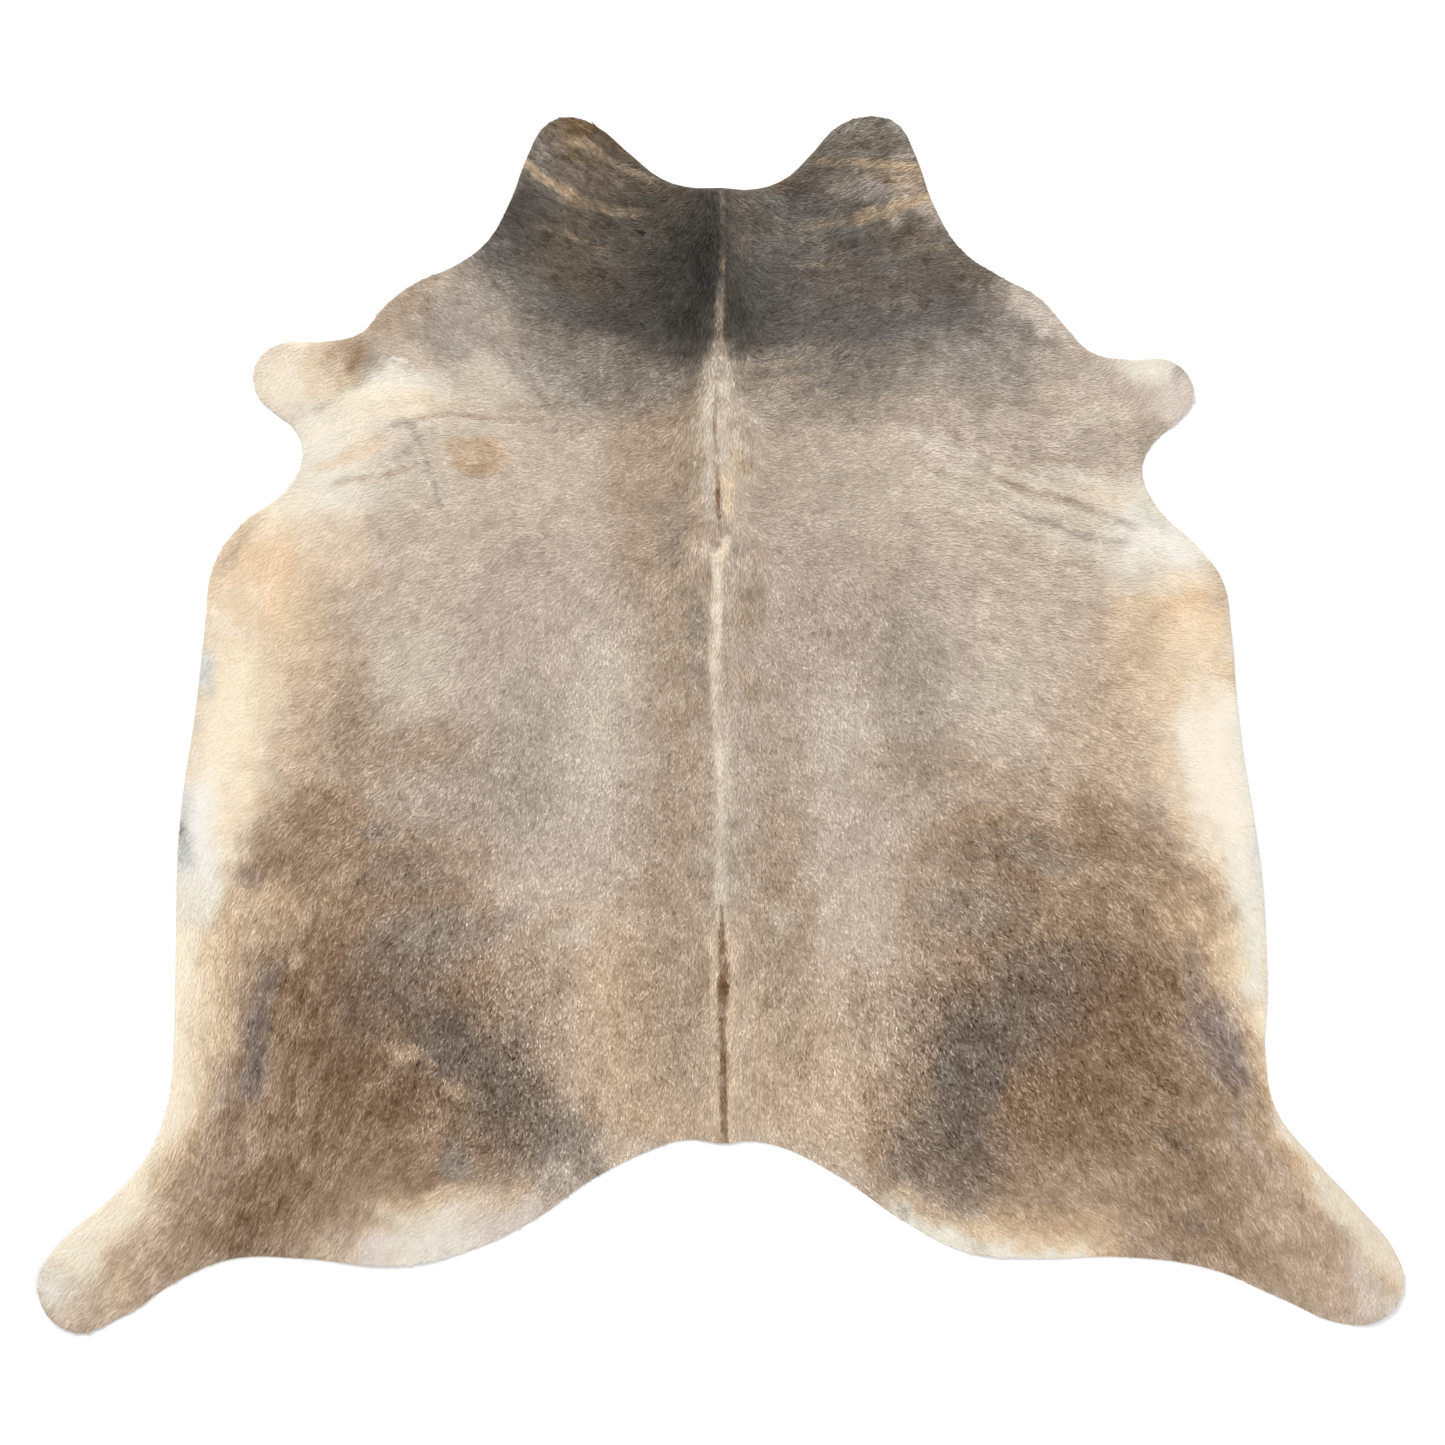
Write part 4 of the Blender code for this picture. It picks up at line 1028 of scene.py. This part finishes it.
def make_grain_group():
    group = bpy.data.node_groups.new("leather_grain", "ShaderNodeTree")
    sockets = group.interface
    for name, value in GRAIN_SETTINGS.items():
        socket = sockets.new_socket(name=name, in_out="INPUT", socket_type="NodeSocketFloat")
        socket.default_value = value
    for name, kind in (("Grain", "Float"), ("Roughness", "Float"), ("Normal", "Vector")):
        sockets.new_socket(name=name, in_out="OUTPUT", socket_type="NodeSocket" + kind)
    nodes, links = group.nodes, group.links
    given, result = nodes.new("NodeGroupInput"), nodes.new("NodeGroupOutput")
    noise = object_noise(nodes, links, **GRAIN_NOISE)
    links.new(given.outputs["Size"], noise.inputs["Scale"])
    rough = nodes.new("ShaderNodeMapRange")
    links.new(noise.outputs["Fac"], rough.inputs["Value"])
    links.new(given.outputs["Roughness Low"], rough.inputs["To Min"])
    links.new(given.outputs["Roughness High"], rough.inputs["To Max"])
    bump = nodes.new("ShaderNodeBump")
    bump.inputs["Distance"].default_value = GRAIN_HEIGHT
    links.new(given.outputs["Depth"], bump.inputs["Strength"])
    links.new(noise.outputs["Fac"], bump.inputs["Height"])
    links.new(noise.outputs["Fac"], result.inputs["Grain"])
    links.new(rough.outputs["Result"], result.inputs["Roughness"])
    links.new(bump.outputs["Normal"], result.inputs["Normal"])
    return group


grain_group = make_grain_group()
print("group:", grain_group.name, [item.name for item in grain_group.interface.items_tree])

# %% Helpers for materials
def new_material(name):
    """A material with its nodes, its links and its shader."""
    material = bpy.data.materials.new(name)
    material.use_nodes = True
    tree = material.node_tree
    return material, tree.nodes, tree.links, tree.nodes["Principled BSDF"]


def add_grain(nodes, links, shader, *settings):
    """Places the grain group, joins its roughness and normal to the shader, and gives its grain."""
    grain = nodes.new("ShaderNodeGroup")
    grain.node_tree = grain_group
    set_inputs(grain, dict(zip(GRAIN_SETTINGS, settings)))
    for name in ("Roughness", "Normal"):
        links.new(grain.outputs[name], shader.inputs[name])
    return grain.outputs["Grain"]


def painted_colour(nodes):
    """The colour that the mesh holds as its attribute coat."""
    coat = nodes.new("ShaderNodeAttribute")
    coat.attribute_name = "coat"
    return coat.outputs["Color"]


def blend_colours(nodes, links, share, first, second):
    """Mixes two plain colours by a share that changes over the surface."""
    mix = nodes.new("ShaderNodeMix")
    mix.data_type = "RGBA"
    links.new(share, mix.inputs["Factor"])
    for name, colour in (("A", first), ("B", second)):
        socket = next(s for s in mix.inputs if s.name == name and s.type == "RGBA")
        socket.default_value = (*colour, 1.0)
    return next(s for s in mix.outputs if s.type == "RGBA")


def tinted(nodes, links, share, colour, low, high):
    """A colour from a socket, made darker or lighter between low and high by a share."""
    product = nodes.new("ShaderNodeVectorMath")
    product.operation = "SCALE"
    links.new(colour, product.inputs[0])
    links.new(between(nodes, links, share, low, high), product.inputs["Scale"])
    return product.outputs["Vector"]


# %% Skin, cut edge and flesh side
# (size, depth, roughness low, roughness high)
SKIN_GRAIN = (900.0, 0.35, 0.62, 0.85)
CUT_GRAIN = (1300.0, 0.6, 0.7, 0.92)
FLESH_GRAIN = (620.0, 0.55, 0.82, 0.98)
SKIN_SHADES = (0.66, 0.92)
CUT_DARK, CUT_PALE = (196, 178, 152), (232, 220, 200)
FLESH_DARK, FLESH_PALE = (190, 178, 160), (216, 207, 192)
FLESH_CLOUDS = {"Scale": 5.0, "Detail": 6.0}
NAP_SHADES = (0.82, 1.08)
NAP_SHEEN = {"Sheen Weight": 0.25, "Sheen Roughness": 0.6}

skin, nodes, links, shader = new_material("coat_skin")
grain = add_grain(nodes, links, shader, *SKIN_GRAIN)
shade = tinted(nodes, links, grain, painted_colour(nodes), *SKIN_SHADES)
links.new(shade, shader.inputs["Base Color"])

cut_edge, nodes, links, shader = new_material("cut_edge")
grain = add_grain(nodes, links, shader, *CUT_GRAIN)
raw = blend_colours(nodes, links, grain, screen_to_linear(CUT_DARK), screen_to_linear(CUT_PALE))
links.new(raw, shader.inputs["Base Color"])

flesh, nodes, links, shader = new_material("flesh_side")
grain = add_grain(nodes, links, shader, *FLESH_GRAIN)
cloud = object_noise(nodes, links, **FLESH_CLOUDS)
stain = blend_colours(nodes, links, cloud.outputs["Fac"],
                      screen_to_linear(FLESH_DARK), screen_to_linear(FLESH_PALE))
links.new(tinted(nodes, links, grain, stain, *NAP_SHADES), shader.inputs["Base Color"])
set_inputs(shader, NAP_SHEEN)
print("materials:", skin.name, cut_edge.name, flesh.name)

# %% The sheet takes the solid's place
hide_sheet = finish_piece("hide_sheet", sheet_data, [skin, cut_edge, flesh])
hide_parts("hide")
print("sheet:", [round(v / MM, 1) for v in hide_sheet.dimensions], "mm")

# %% [markdown]
# ## The way the hair lies
#
# Cow hair lies close to the skin. It runs from the back outwards over the shoulders and ribs,
# ever steeper down the haunches and legs, and on the neck it sweeps up and out. A particle
# system could be combed by hand, but a short table of headings is easier to read. Each place
# pulls the hair near it to its heading, in degrees from +X, and between places they blend.
#
# Most headings follow the grain of the photo as it was measured: there the brightness changes
# least along the hair. Such a measure can't tell root from tip, which was judged.
#
# The last two numbers say how well the hair is combed there, from 1 for hair that lies in line
# to 0 for the rubbed middle of the back, where it stands every way, and how strongly pale and
# dark hair are mixed, which is little on the legs and much on the haunches.

# %% The headings
# (place, x, y, heading, reach, combed, mixed)
FLOW = [
    ("neck_middle_left", -90, 850, 215, 90, 0.5, 1.1),
    ("neck_middle_right", 70, 850, -30, 80, 0.6, 1.0),
    ("neck_left", -200, 850, 140, 90, 0.8, 1.05),
    ("neck_right", 200, 850, 25, 90, 0.8, 0.85),
    ("lobe_left", -250, 960, 145, 90, 0.9, 1.0),
    ("lobe_right", 270, 960, 12, 90, 0.9, 0.9),
    ("throat_left", -350, 760, 150, 100, 0.5, 1.0),
    ("throat_right", 370, 740, 4, 100, 0.6, 0.85),
    ("withers_left", -200, 620, 200, 110, 0.4, 0.9),
    ("withers_right", 180, 620, 20, 100, 0.4, 0.9),
    ("spine_withers", 0, 650, -90, 60, 0.6, 1.0),
    ("spine_front", 0, 450, -90, 55, 0.9, 0.8),
    ("spine_ribs", 0, 250, -90, 55, 0.9, 0.9),
    ("spine_back", 0, 50, -90, 55, 0.7, 0.9),
    ("spine_loin", 0, -200, -90, 60, 0.7, 1.0),
    ("spine_croup", 2, -400, -90, 60, 0.9, 1.0),
    ("spine_tail", 5, -600, -90, 60, 1.0, 1.0),
    ("shoulder_left_top", -400, 620, 160, 110, 0.3, 0.7),
    ("shoulder_right_top", 400, 640, -4, 120, 0.6, 0.7),
    ("shoulder_left", -430, 480, 180, 110, 0.6, 0.65),
    ("shoulder_right", 430, 500, -14, 120, 0.8, 0.65),
    ("foreleg_left", -700, 580, 217, 110, 0.7, 0.25),
    ("foreleg_right", 700, 570, 38, 80, 0.6, 0.45),
    ("elbow_left", -600, 470, 210, 110, 0.8, 0.4),
    ("elbow_right", 600, 500, 12, 80, 0.8, 0.6),
    ("wrinkles_left", -520, 400, 202, 110, 0.7, 0.6),
    ("wrinkles_right", 480, 400, -21, 120, 1.0, 0.7),
    ("wrinkles_right_outer", 640, 350, -15, 100, 1.0, 0.6),
    ("rib_left_top", -250, 380, 190, 120, 0.2, 0.75),
    ("rib_right_top", 230, 400, 5, 120, 0.2, 0.75),
    ("chest_left", -700, 320, 220, 110, 0.8, 0.45),
    ("chest_right", 700, 270, -12, 100, 0.9, 0.4),
    ("rib_left", -520, 200, 216, 140, 0.6, 0.75),
    ("rib_right", 520, 200, -17, 140, 0.7, 0.8),
    ("belly_left", -800, 120, 226, 120, 0.7, 0.5),
    ("belly_right", 790, 120, -18, 120, 0.7, 0.5),
    ("back_left", -200, 80, 262, 130, 0.0, 1.05),
    ("back_right", 200, 80, -70, 130, 0.0, 1.05),
    ("side_left", -560, 0, 220, 130, 0.5, 1.0),
    ("side_right", 540, 0, -32, 130, 0.6, 1.0),
    ("belly_left_low", -800, -80, 204, 90, 0.6, 0.4),
    ("belly_right_low", 800, -80, -26, 100, 0.8, 0.4),
    ("flank_left", -560, -180, 235, 140, 0.3, 1.3),
    ("flank_right", 560, -180, -38, 140, 0.4, 1.4),
    ("groin_left", -780, -220, 244, 110, 0.8, 0.9),
    ("groin_right", 810, -220, -40, 110, 0.8, 0.9),
    ("loin_left", -220, -220, 266, 150, 0.0, 1.15),
    ("loin_right", 220, -220, -68, 150, 0.1, 1.15),
    ("haunch_left", -540, -420, 244, 140, 0.3, 1.5),
    ("haunch_right", 540, -420, -58, 140, 0.4, 1.7),
    ("thigh_left", -790, -420, 266, 120, 0.9, 0.9),
    ("thigh_right", 800, -380, -60, 110, 0.7, 1.1),
    ("charcoal_left", -350, -580, 268, 140, 0.1, 1.9),
    ("charcoal_right", 350, -560, -66, 140, 0.3, 2.2),
    ("stifle_left", -690, -560, 252, 120, 0.8, 1.2),
    ("stifle_right", 700, -560, -50, 120, 0.6, 1.5),
    ("stifle_left_outer", -830, -620, 266, 90, 0.9, 0.7),
    ("stifle_right_outer", 850, -600, -60, 90, 0.9, 1.0),
    ("rump_left", -150, -560, 268, 120, 0.2, 1.3),
    ("rump_right", 170, -560, -80, 120, 0.3, 1.3),
    ("buttock_left", -430, -780, 216, 110, 0.4, 0.9),
    ("buttock_right", 380, -760, -44, 120, 0.5, 1.3),
    ("seat_left", -580, -830, 238, 110, 0.8, 0.5),
    ("seat_right", 560, -820, -49, 120, 0.7, 0.8),
    ("hock_left", -760, -760, 250, 110, 0.9, 1.0),
    ("hock_right", 760, -780, -58, 120, 0.7, 1.1),
    ("shank_left", -930, -820, 234, 120, 1.0, 0.8),
    ("shank_right", 930, -780, -66, 130, 0.8, 0.75),
    ("foot_left", -1060, -910, 226, 120, 1.0, 0.6),
    ("foot_right", 1060, -900, -72, 130, 0.6, 0.6),
]


def hair_at(x, y):
    """At places in millimetres: the hair's heading as cosine and sine, how combed and how mixed."""
    east, north, combed, mixed = np.zeros((4, len(x)))
    total = np.zeros(len(x))
    for _, flow_x, flow_y, heading, reach, in_line, mixture in FLOW:
        pull = np.exp(-((x - flow_x) ** 2 + (y - flow_y) ** 2) / reach ** 2) + TINY
        east += pull * math.cos(math.radians(heading))
        north += pull * math.sin(math.radians(heading))
        combed += pull * in_line
        mixed += pull * mixture
        total += pull
    size = np.hypot(east, north)
    return east / size, north / size, combed / total, mixed / total


print(len(FLOW), "headings")

# %% [markdown]
# ## One lock of hair
#
# A coat has millions of hairs. What the eye sees from standing height is locks: a few dozen
# hairs that lie together, about 13 mm long and 3 mm wide. One lock is a strip that rises out of
# the skin, lies over and ends in a point. It starts as a grid of one by two squares, and the
# corners at one end are merged. The template is one unit long and one wide, and lies along +Y.

# %% Model the lock
# (along, height, width) at the root, at the bend and at the tip
LOCK_RISE = [(0.0, -0.030, 1.0), (0.42, 0.120, 0.86), (1.0, 0.125, 0.0)]
LOCK_PARTS = len(LOCK_RISE) - 1
TIP_MERGE = 0.001

lock = bmesh.new()
bmesh.ops.create_grid(lock, x_segments=1, y_segments=LOCK_PARTS, size=0.5)
for v in lock.verts:
    along, height, width = LOCK_RISE[round((v.co.y + 0.5) * LOCK_PARTS)]
    v.co = Vector((v.co.x * width, along, height))
bmesh.ops.remove_doubles(lock, verts=lock.verts, dist=TIP_MERGE)
bmesh.ops.triangulate(lock, faces=lock.faces)
lock.verts.index_update()
lock_points = np.array([v.co[:] for v in lock.verts])
lock_faces = np.array([[v.index for v in f.verts] for f in lock.faces])
print(len(lock_points), "points,", len(lock_faces), "triangles")

# %% [markdown]
# ## Where the locks grow
#
# The roots stand on a grid of staggered rows, each moved a little at random. A ray from above
# finds the height and the slope of the skin there, and a root that misses the sheet is dropped.

# %% Plant the roots
ROW_GAP = 3.2
ROOT_GAP = 3.7
JITTER = 0.42
ROOT_TO_EDGE = 1.3
ROOT_SEED = 20
RAY_START = 0.05  # metres above the highest point

low, high = (np.array(corner) / MM for corner in cad_box)
rows = np.arange(low[1], high[1], ROW_GAP)
steps = np.arange(low[0], high[0], ROOT_GAP)
root_x, root_y = (grid.ravel() for grid in np.meshgrid(steps, rows))
row_number = np.repeat(np.arange(len(rows)), len(steps))
root_x = root_x + ROOT_GAP * 0.5 * (row_number % 2)
chance = np.random.default_rng(ROOT_SEED)
root_x = root_x + ROOT_GAP * JITTER * chance.uniform(-1, 1, len(root_x))
root_y = root_y + ROW_GAP * JITTER * chance.uniform(-1, 1, len(root_y))

skin_tree = BVHTree.FromBMesh(sheet_mesh)
above = high[2] * MM + RAY_START
roots, slopes, edge_gap, outwards = [], [], [], []
for x, y in zip(root_x * MM, root_y * MM):
    hit, slope, _, _ = skin_tree.ray_cast((x, y, above), (0, 0, -1))
    if hit is None or slope.z < UP:
        continue
    nearest, distance = to_edge(x, y)
    if distance < ROOT_TO_EDGE * MM:
        continue
    roots.append(hit[:])
    slopes.append(slope[:])
    edge_gap.append(distance)
    outwards.append((nearest.x - x, nearest.y - y))
roots, slopes = np.array(roots), np.array(slopes)
edge_gap, outwards = np.array(edge_gap) / MM, np.array(outwards) / MM
print(len(roots), "locks")

# %% [markdown]
# ## How each lock lies
#
# Every lock follows the heading of its place, turned a little at random, and leans or rolls a
# little. Near the cut edge the locks get shorter, so that they end a hair's breadth past it.

# %% Turn and size the locks
LOOSE_LENGTH, COMBED_LENGTH = 8.0, 13.0
LENGTH_SPREAD = 0.2
LOCK_WIDTH = (2.5, 3.4)
LOOSE_TURN, COMBED_TURN = 26.0, 8.0
SWIRL, SWIRL_SIZE, SWIRL_SEED = 7.0, 30, 21
PAST_EDGE = 0.8
SHORTEST = 2.4
LEAST_GAP, LEAST_TOWARDS = 0.1, 0.05  # so that a division stays small

count = len(roots)
x, y = roots[:, 0] / MM, roots[:, 1] / MM
east, north, combed, mixed = hair_at(x, y)
turn_spread = LOOSE_TURN + (COMBED_TURN - LOOSE_TURN) * combed
turn = turn_spread * chance.standard_normal(count)
turn = np.radians(turn + SWIRL * unevenness(x, y, SWIRL_SIZE, SWIRL_SEED))
heading = np.stack([east * np.cos(turn) - north * np.sin(turn),
                    east * np.sin(turn) + north * np.cos(turn), np.zeros(count)], axis=1)
length = LOOSE_LENGTH + (COMBED_LENGTH - LOOSE_LENGTH) * combed
length = length * chance.uniform(1.0 - LENGTH_SPREAD, 1.0 + LENGTH_SPREAD, count)
width = chance.uniform(*LOCK_WIDTH, count)
towards = np.einsum("ij,ij->i", heading[:, :2], outwards) / np.maximum(edge_gap, LEAST_GAP)
room = (edge_gap + PAST_EDGE) / np.maximum(towards, LEAST_TOWARDS)
length = np.clip(np.minimum(length, room), SHORTEST, None)
print("locks from", round(length.min(), 1), "to", round(length.max(), 1), "mm long")

# %% [markdown]
# Pale hair is finer and lies flatter than dark hair, and where the coat is mixed it is also more
# ruffled. So the colour at each lock's middle comes first, and its tone sets how far the lock
# rises, leans and rolls.

# %% Lean and roll the locks
LEAN_SPREAD = 3.5
ROLL_SPREAD = 16.0
RUFFLED_TONES, RUFFLED = (190, 235), (1.0, 0.3)
LEAST_MIXED = 0.2
FLAT_RISE = 0.4

middle_x = x + 0.5 * length * heading[:, 0]
middle_y = y + 0.5 * length * heading[:, 1]
lock_colour = coat_colour(middle_x, middle_y)
tone = lock_colour.mean(axis=1)
ruffled = np.interp(tone, RUFFLED_TONES, RUFFLED) * np.clip(mixed, LEAST_MIXED, 1.0)
lean = np.radians(LEAN_SPREAD * ruffled * chance.standard_normal(count))
roll = np.radians(ROLL_SPREAD * ruffled * chance.standard_normal(count))
rise = length * (FLAT_RISE + (1.0 - FLAT_RISE) * ruffled)
print("tones from", round(float(tone.min())), "to", round(float(tone.max())))

# %% Bend the headings onto the skin
def unit(vectors):
    """The vectors, each made one long."""
    return vectors / np.linalg.norm(vectors, axis=1)[:, None]


along = unit(heading - slopes * np.einsum("ij,ij->i", heading, slopes)[:, None])
across = np.cross(along, slopes)
along, up = (along * np.cos(lean)[:, None] + slopes * np.sin(lean)[:, None],
             slopes * np.cos(lean)[:, None] - along * np.sin(lean)[:, None])
across = across * np.cos(roll)[:, None] + up * np.sin(roll)[:, None]
lock_at = roots[:, None, :] + MM * (
    across[:, None, :] * (lock_points[None, :, 0] * width[:, None])[:, :, None]
    + along[:, None, :] * (lock_points[None, :, 1] * length[:, None])[:, :, None]
    + up[:, None, :] * (lock_points[None, :, 2] * rise[:, None])[:, :, None])
print("highest tip:", round(float(lock_at[:, :, 2].max()) / MM, 2), "mm")

# %% [markdown]
# ## The colour of each lock
#
# A lock takes the coat's colour at its middle. Brindle hair is dark and pale hair mixed, so each
# lock is then lighter or darker than its neighbours: a lot in the grey and brown parts, hardly
# at all in the cream ones. Where the hair is combed, locks that lie in line share their shade,
# which gives fine streaks: there the random shade is averaged over a few places along the
# lock's own heading. The roots are darker than the tips, because less light gets to them.

# %% Shade the locks
# For dark to pale parts of the coat: how much the locks differ, in steps of the screen's 255,
# and how much painted shade darkens their roots against their middle. The tips are painted a
# little lighter than their middle, as painted light.
TONES = (50, 90, 120, 160, 185, 205, 225, 245)
GRIZZLE = (6, 10, 15, 14, 11, 7, 4, 1)
ROOT_SHADES = (0.62, 0.66, 0.7, 0.72, 0.76, 0.84, 0.93, 1.0)
TIP_SHADE = 1.05
ROOT_END, TIP_START = 0.2, 0.8

# Pale hair lies flat and catches more light, and all hair gets a little from its gloss. The
# paint is darker by as much, so that the lit coat has the palette's tones.
FLAT_TONES = (140, 155, 185, 215, 228, 245)
FLAT_GAIN = (1.04, 1.062, 1.06, 1.15, 1.172, 1.2)
GLOSS_LIGHT = 0.011
DARKEST = 0.004

STREAKED, STREAK_SIZE, STREAK_SEED = 0.9, 4.0, 22
STREAK_PLACES = (-16, -8, 0, 8, 16)
MOTTLED, MOTTLE_SIZES, MOTTLE_SEEDS = 0.45, (11, 24), (23, 24)
COMBED_CALM = 0.55


def evened(values):
    """The values with a mean of 0 and a spread of 1."""
    return (values - values.mean()) / values.std()


streaks = np.zeros(count)
for reach in STREAK_PLACES:
    streaks += unevenness(middle_x + reach * along[:, 0], middle_y + reach * along[:, 1],
                          STREAK_SIZE, STREAK_SEED)
mottle = np.zeros(count)
for size, seed in zip(MOTTLE_SIZES, MOTTLE_SEEDS):
    mottle += unevenness(middle_x, middle_y, size, seed)
difference = (1.0 - COMBED_CALM * combed) * chance.standard_normal(count)
difference = mixed * (difference + STREAKED * combed * evened(streaks)) + MOTTLED * evened(mottle)
lock_colour += (np.interp(tone, TONES, GRIZZLE) * difference)[:, None]
root_shade = np.interp(tone, TONES, ROOT_SHADES)
point_shade = np.ones((count, len(lock_points)))
point_shade[:, lock_points[:, 1] < ROOT_END] = root_shade[:, None]
point_shade[:, lock_points[:, 1] > TIP_START] = TIP_SHADE
lock_paint = screen_to_linear(np.clip(lock_colour, 0, 255))
lock_paint = lock_paint / np.interp(tone, FLAT_TONES, FLAT_GAIN)[:, None] - GLOSS_LIGHT
point_colour = np.clip(lock_paint, DARKEST, 1.0)[:, None, :] * point_shade[:, :, None]
print("painted", count, "locks")

# %% [markdown]
# ## The material of the hair
#
# Hair is smoother along than across, and its gloss is soft. The colour comes from the
# attribute, with a fine noise over it so that a lock isn't one flat tone, and the roughness
# changes with the same noise. A little sheen lifts the tips at low angles.

# %% Hair material
HAIR_NOISE = {"Scale": 700.0, "Detail": 3.0}
HAIR_SHADES = (0.82, 1.18)
HAIR_ROUGHNESS = (0.5, 0.72)
HAIR_GLOSS = {"Specular IOR Level": 0.13, "Sheen Weight": 0.03, "Sheen Roughness": 0.5}

hair, nodes, links, shader = new_material("short_hair")
fine = object_noise(nodes, links, **HAIR_NOISE).outputs["Fac"]
links.new(tinted(nodes, links, fine, painted_colour(nodes), *HAIR_SHADES), shader.inputs["Base Color"])
links.new(between(nodes, links, fine, *HAIR_ROUGHNESS), shader.inputs["Roughness"])
set_inputs(shader, HAIR_GLOSS)
print("material:", hair.name)

# %% [markdown]
# ## Joining the locks
#
# A quarter of a million objects would be slow, so the locks become five wide bands across the
# hide, from neck to tail. All locks have the same points and faces, and numpy repeats the
# template's numbers. Each lock also gets a small square of its own on a UV map, laid out in the
# order of its place, so that the colour of every lock can be held in a picture.

# %% Join the locks in bands
BANDS = ("hair_neck", "hair_shoulders", "hair_belly", "hair_loins", "hair_haunches")
BAKE_MAP = "OFBake"
CELL_MARGIN = 0.22


def cell_layout(x, y):
    """A square of the UV map for each lock: its lower left corner, and the side of a square."""
    side = math.ceil(math.sqrt(len(x)))
    order = np.argsort(y, kind="stable")
    row = np.empty(len(x), int)
    row[order] = np.arange(len(x)) // side
    column = np.empty(len(x), int)
    for r in range(side):
        members = np.nonzero(row == r)[0]
        column[members[np.argsort(x[members], kind="stable")]] = np.arange(len(members))
    return column / side, row / side, 1.0 / side


def join_locks(name, chosen):
    """One piece from the chosen locks, with their colours and their squares of the UV map."""
    points, size = len(lock_points), len(chosen)
    faces = (lock_faces[None] + np.arange(size)[:, None, None] * points).reshape(-1, 3)
    mesh = bpy.data.meshes.new(name)
    mesh.vertices.add(size * points)
    mesh.vertices.foreach_set("co", lock_at[chosen].astype(np.float32).ravel())
    mesh.loops.add(faces.size)
    mesh.loops.foreach_set("vertex_index", faces.astype(np.int32).ravel())
    mesh.polygons.add(len(faces))
    mesh.polygons.foreach_set("loop_start", np.arange(0, faces.size, 3, dtype=np.int32))
    mesh.update(calc_edges=True)
    mesh.shade_smooth()
    paint_points(mesh, point_colour[chosen].reshape(-1, 3))
    left, bottom, cell = cell_layout(middle_x[chosen], middle_y[chosen])
    inner = cell * (1.0 - 2.0 * CELL_MARGIN)
    u = left[:, None] + cell * CELL_MARGIN + inner * (lock_points[None, :, 0] + 0.5)
    v = bottom[:, None] + cell * CELL_MARGIN + inner * lock_points[None, :, 1]
    corners = np.stack([u, v], axis=2).reshape(-1, 2)
    layer = mesh.uv_layers.new(name=BAKE_MAP)
    layer.uv.foreach_set("vector", corners[faces.ravel()].astype(np.float32).ravel())
    return finish_piece(name, mesh, [hair])


by_row = np.argsort(-y, kind="stable")
for name, chosen in zip(BANDS, np.array_split(by_row, len(BANDS))):
    piece = join_locks(name, np.sort(chosen))
    print(name, len(chosen), "locks,", len(piece.data.polygons), "triangles,",
          round(piece.dimensions.x, 2), "m wide")

# %% [markdown]
# ## Floor and light
#
# The floor is a plain pale plane, so that nothing competes with the coat. The light is that of a
# studio: a wide soft light from above the neck and to the left, a weaker one opposite, and a
# pale surround that fills the shadows. Wide lights give the waves their gentle shading without
# a hard shadow line.

# %% The floor
FLOOR_SIZE = 16.0
FLOOR_SQUARES = 8
FLOOR_DROP = 0.3 * MM
FLOOR_CLOUDS = {"Scale": 3.0}
FLOOR_SHADES = (0.90, 0.90, 0.90), (0.93, 0.93, 0.93)
FLOOR_FINISH = {"Roughness": 0.8, "Specular IOR Level": 0.1}

floor_mesh = bmesh.new()
bmesh.ops.create_grid(floor_mesh, x_segments=FLOOR_SQUARES, y_segments=FLOOR_SQUARES, size=FLOOR_SIZE / 2)
bmesh.ops.translate(floor_mesh, verts=floor_mesh.verts, vec=(0.0, 0.0, -FLOOR_DROP))
floor_data = bpy.data.meshes.new("floor")
floor_mesh.to_mesh(floor_data)
floor_mesh.free()
floor = bpy.data.objects.new("floor", floor_data)
bpy.context.collection.objects.link(floor)

paint, nodes, links, shader = new_material("pale_floor")
cloud = object_noise(nodes, links, **FLOOR_CLOUDS)
links.new(blend_colours(nodes, links, cloud.outputs["Fac"], *FLOOR_SHADES), shader.inputs["Base Color"])
set_inputs(shader, FLOOR_FINISH)
floor_data.materials.append(paint)
print("floor:", FLOOR_SIZE, "m wide")

# %% The lights
# (light, place, size, power), in metres and watts
LIGHTS = [
    ("window_light", (-2.6, 4.8, 6.0), 4.5, 640.0),
    ("fill_light", (3.0, -3.6, 6.5), 5.0, 300.0),
]
SURROUND = {"Color": (1.0, 1.0, 1.0, 1.0), "Strength": 0.315}

for name, place, size, power in LIGHTS:
    light_data = bpy.data.lights.new(name, "AREA")
    light_data.shape = "SQUARE"
    light_data.size = size
    light_data.energy = power
    light = bpy.data.objects.new(name, light_data)
    light.location = place
    light.rotation_euler = (-Vector(place)).to_track_quat("-Z", "Y").to_euler()
    bpy.context.collection.objects.link(light)
    print(name, power, "W,", size, "m wide")

world = bpy.data.worlds.new("surround")
world.use_nodes = True
set_inputs(world.node_tree.nodes["Background"], SURROUND)
bpy.context.scene.world = world
bpy.context.scene.view_settings.view_transform = "Standard"
bpy.context.scene.view_settings.look = "None"

# %% Finish
sheet_mesh.free()
lock.free()
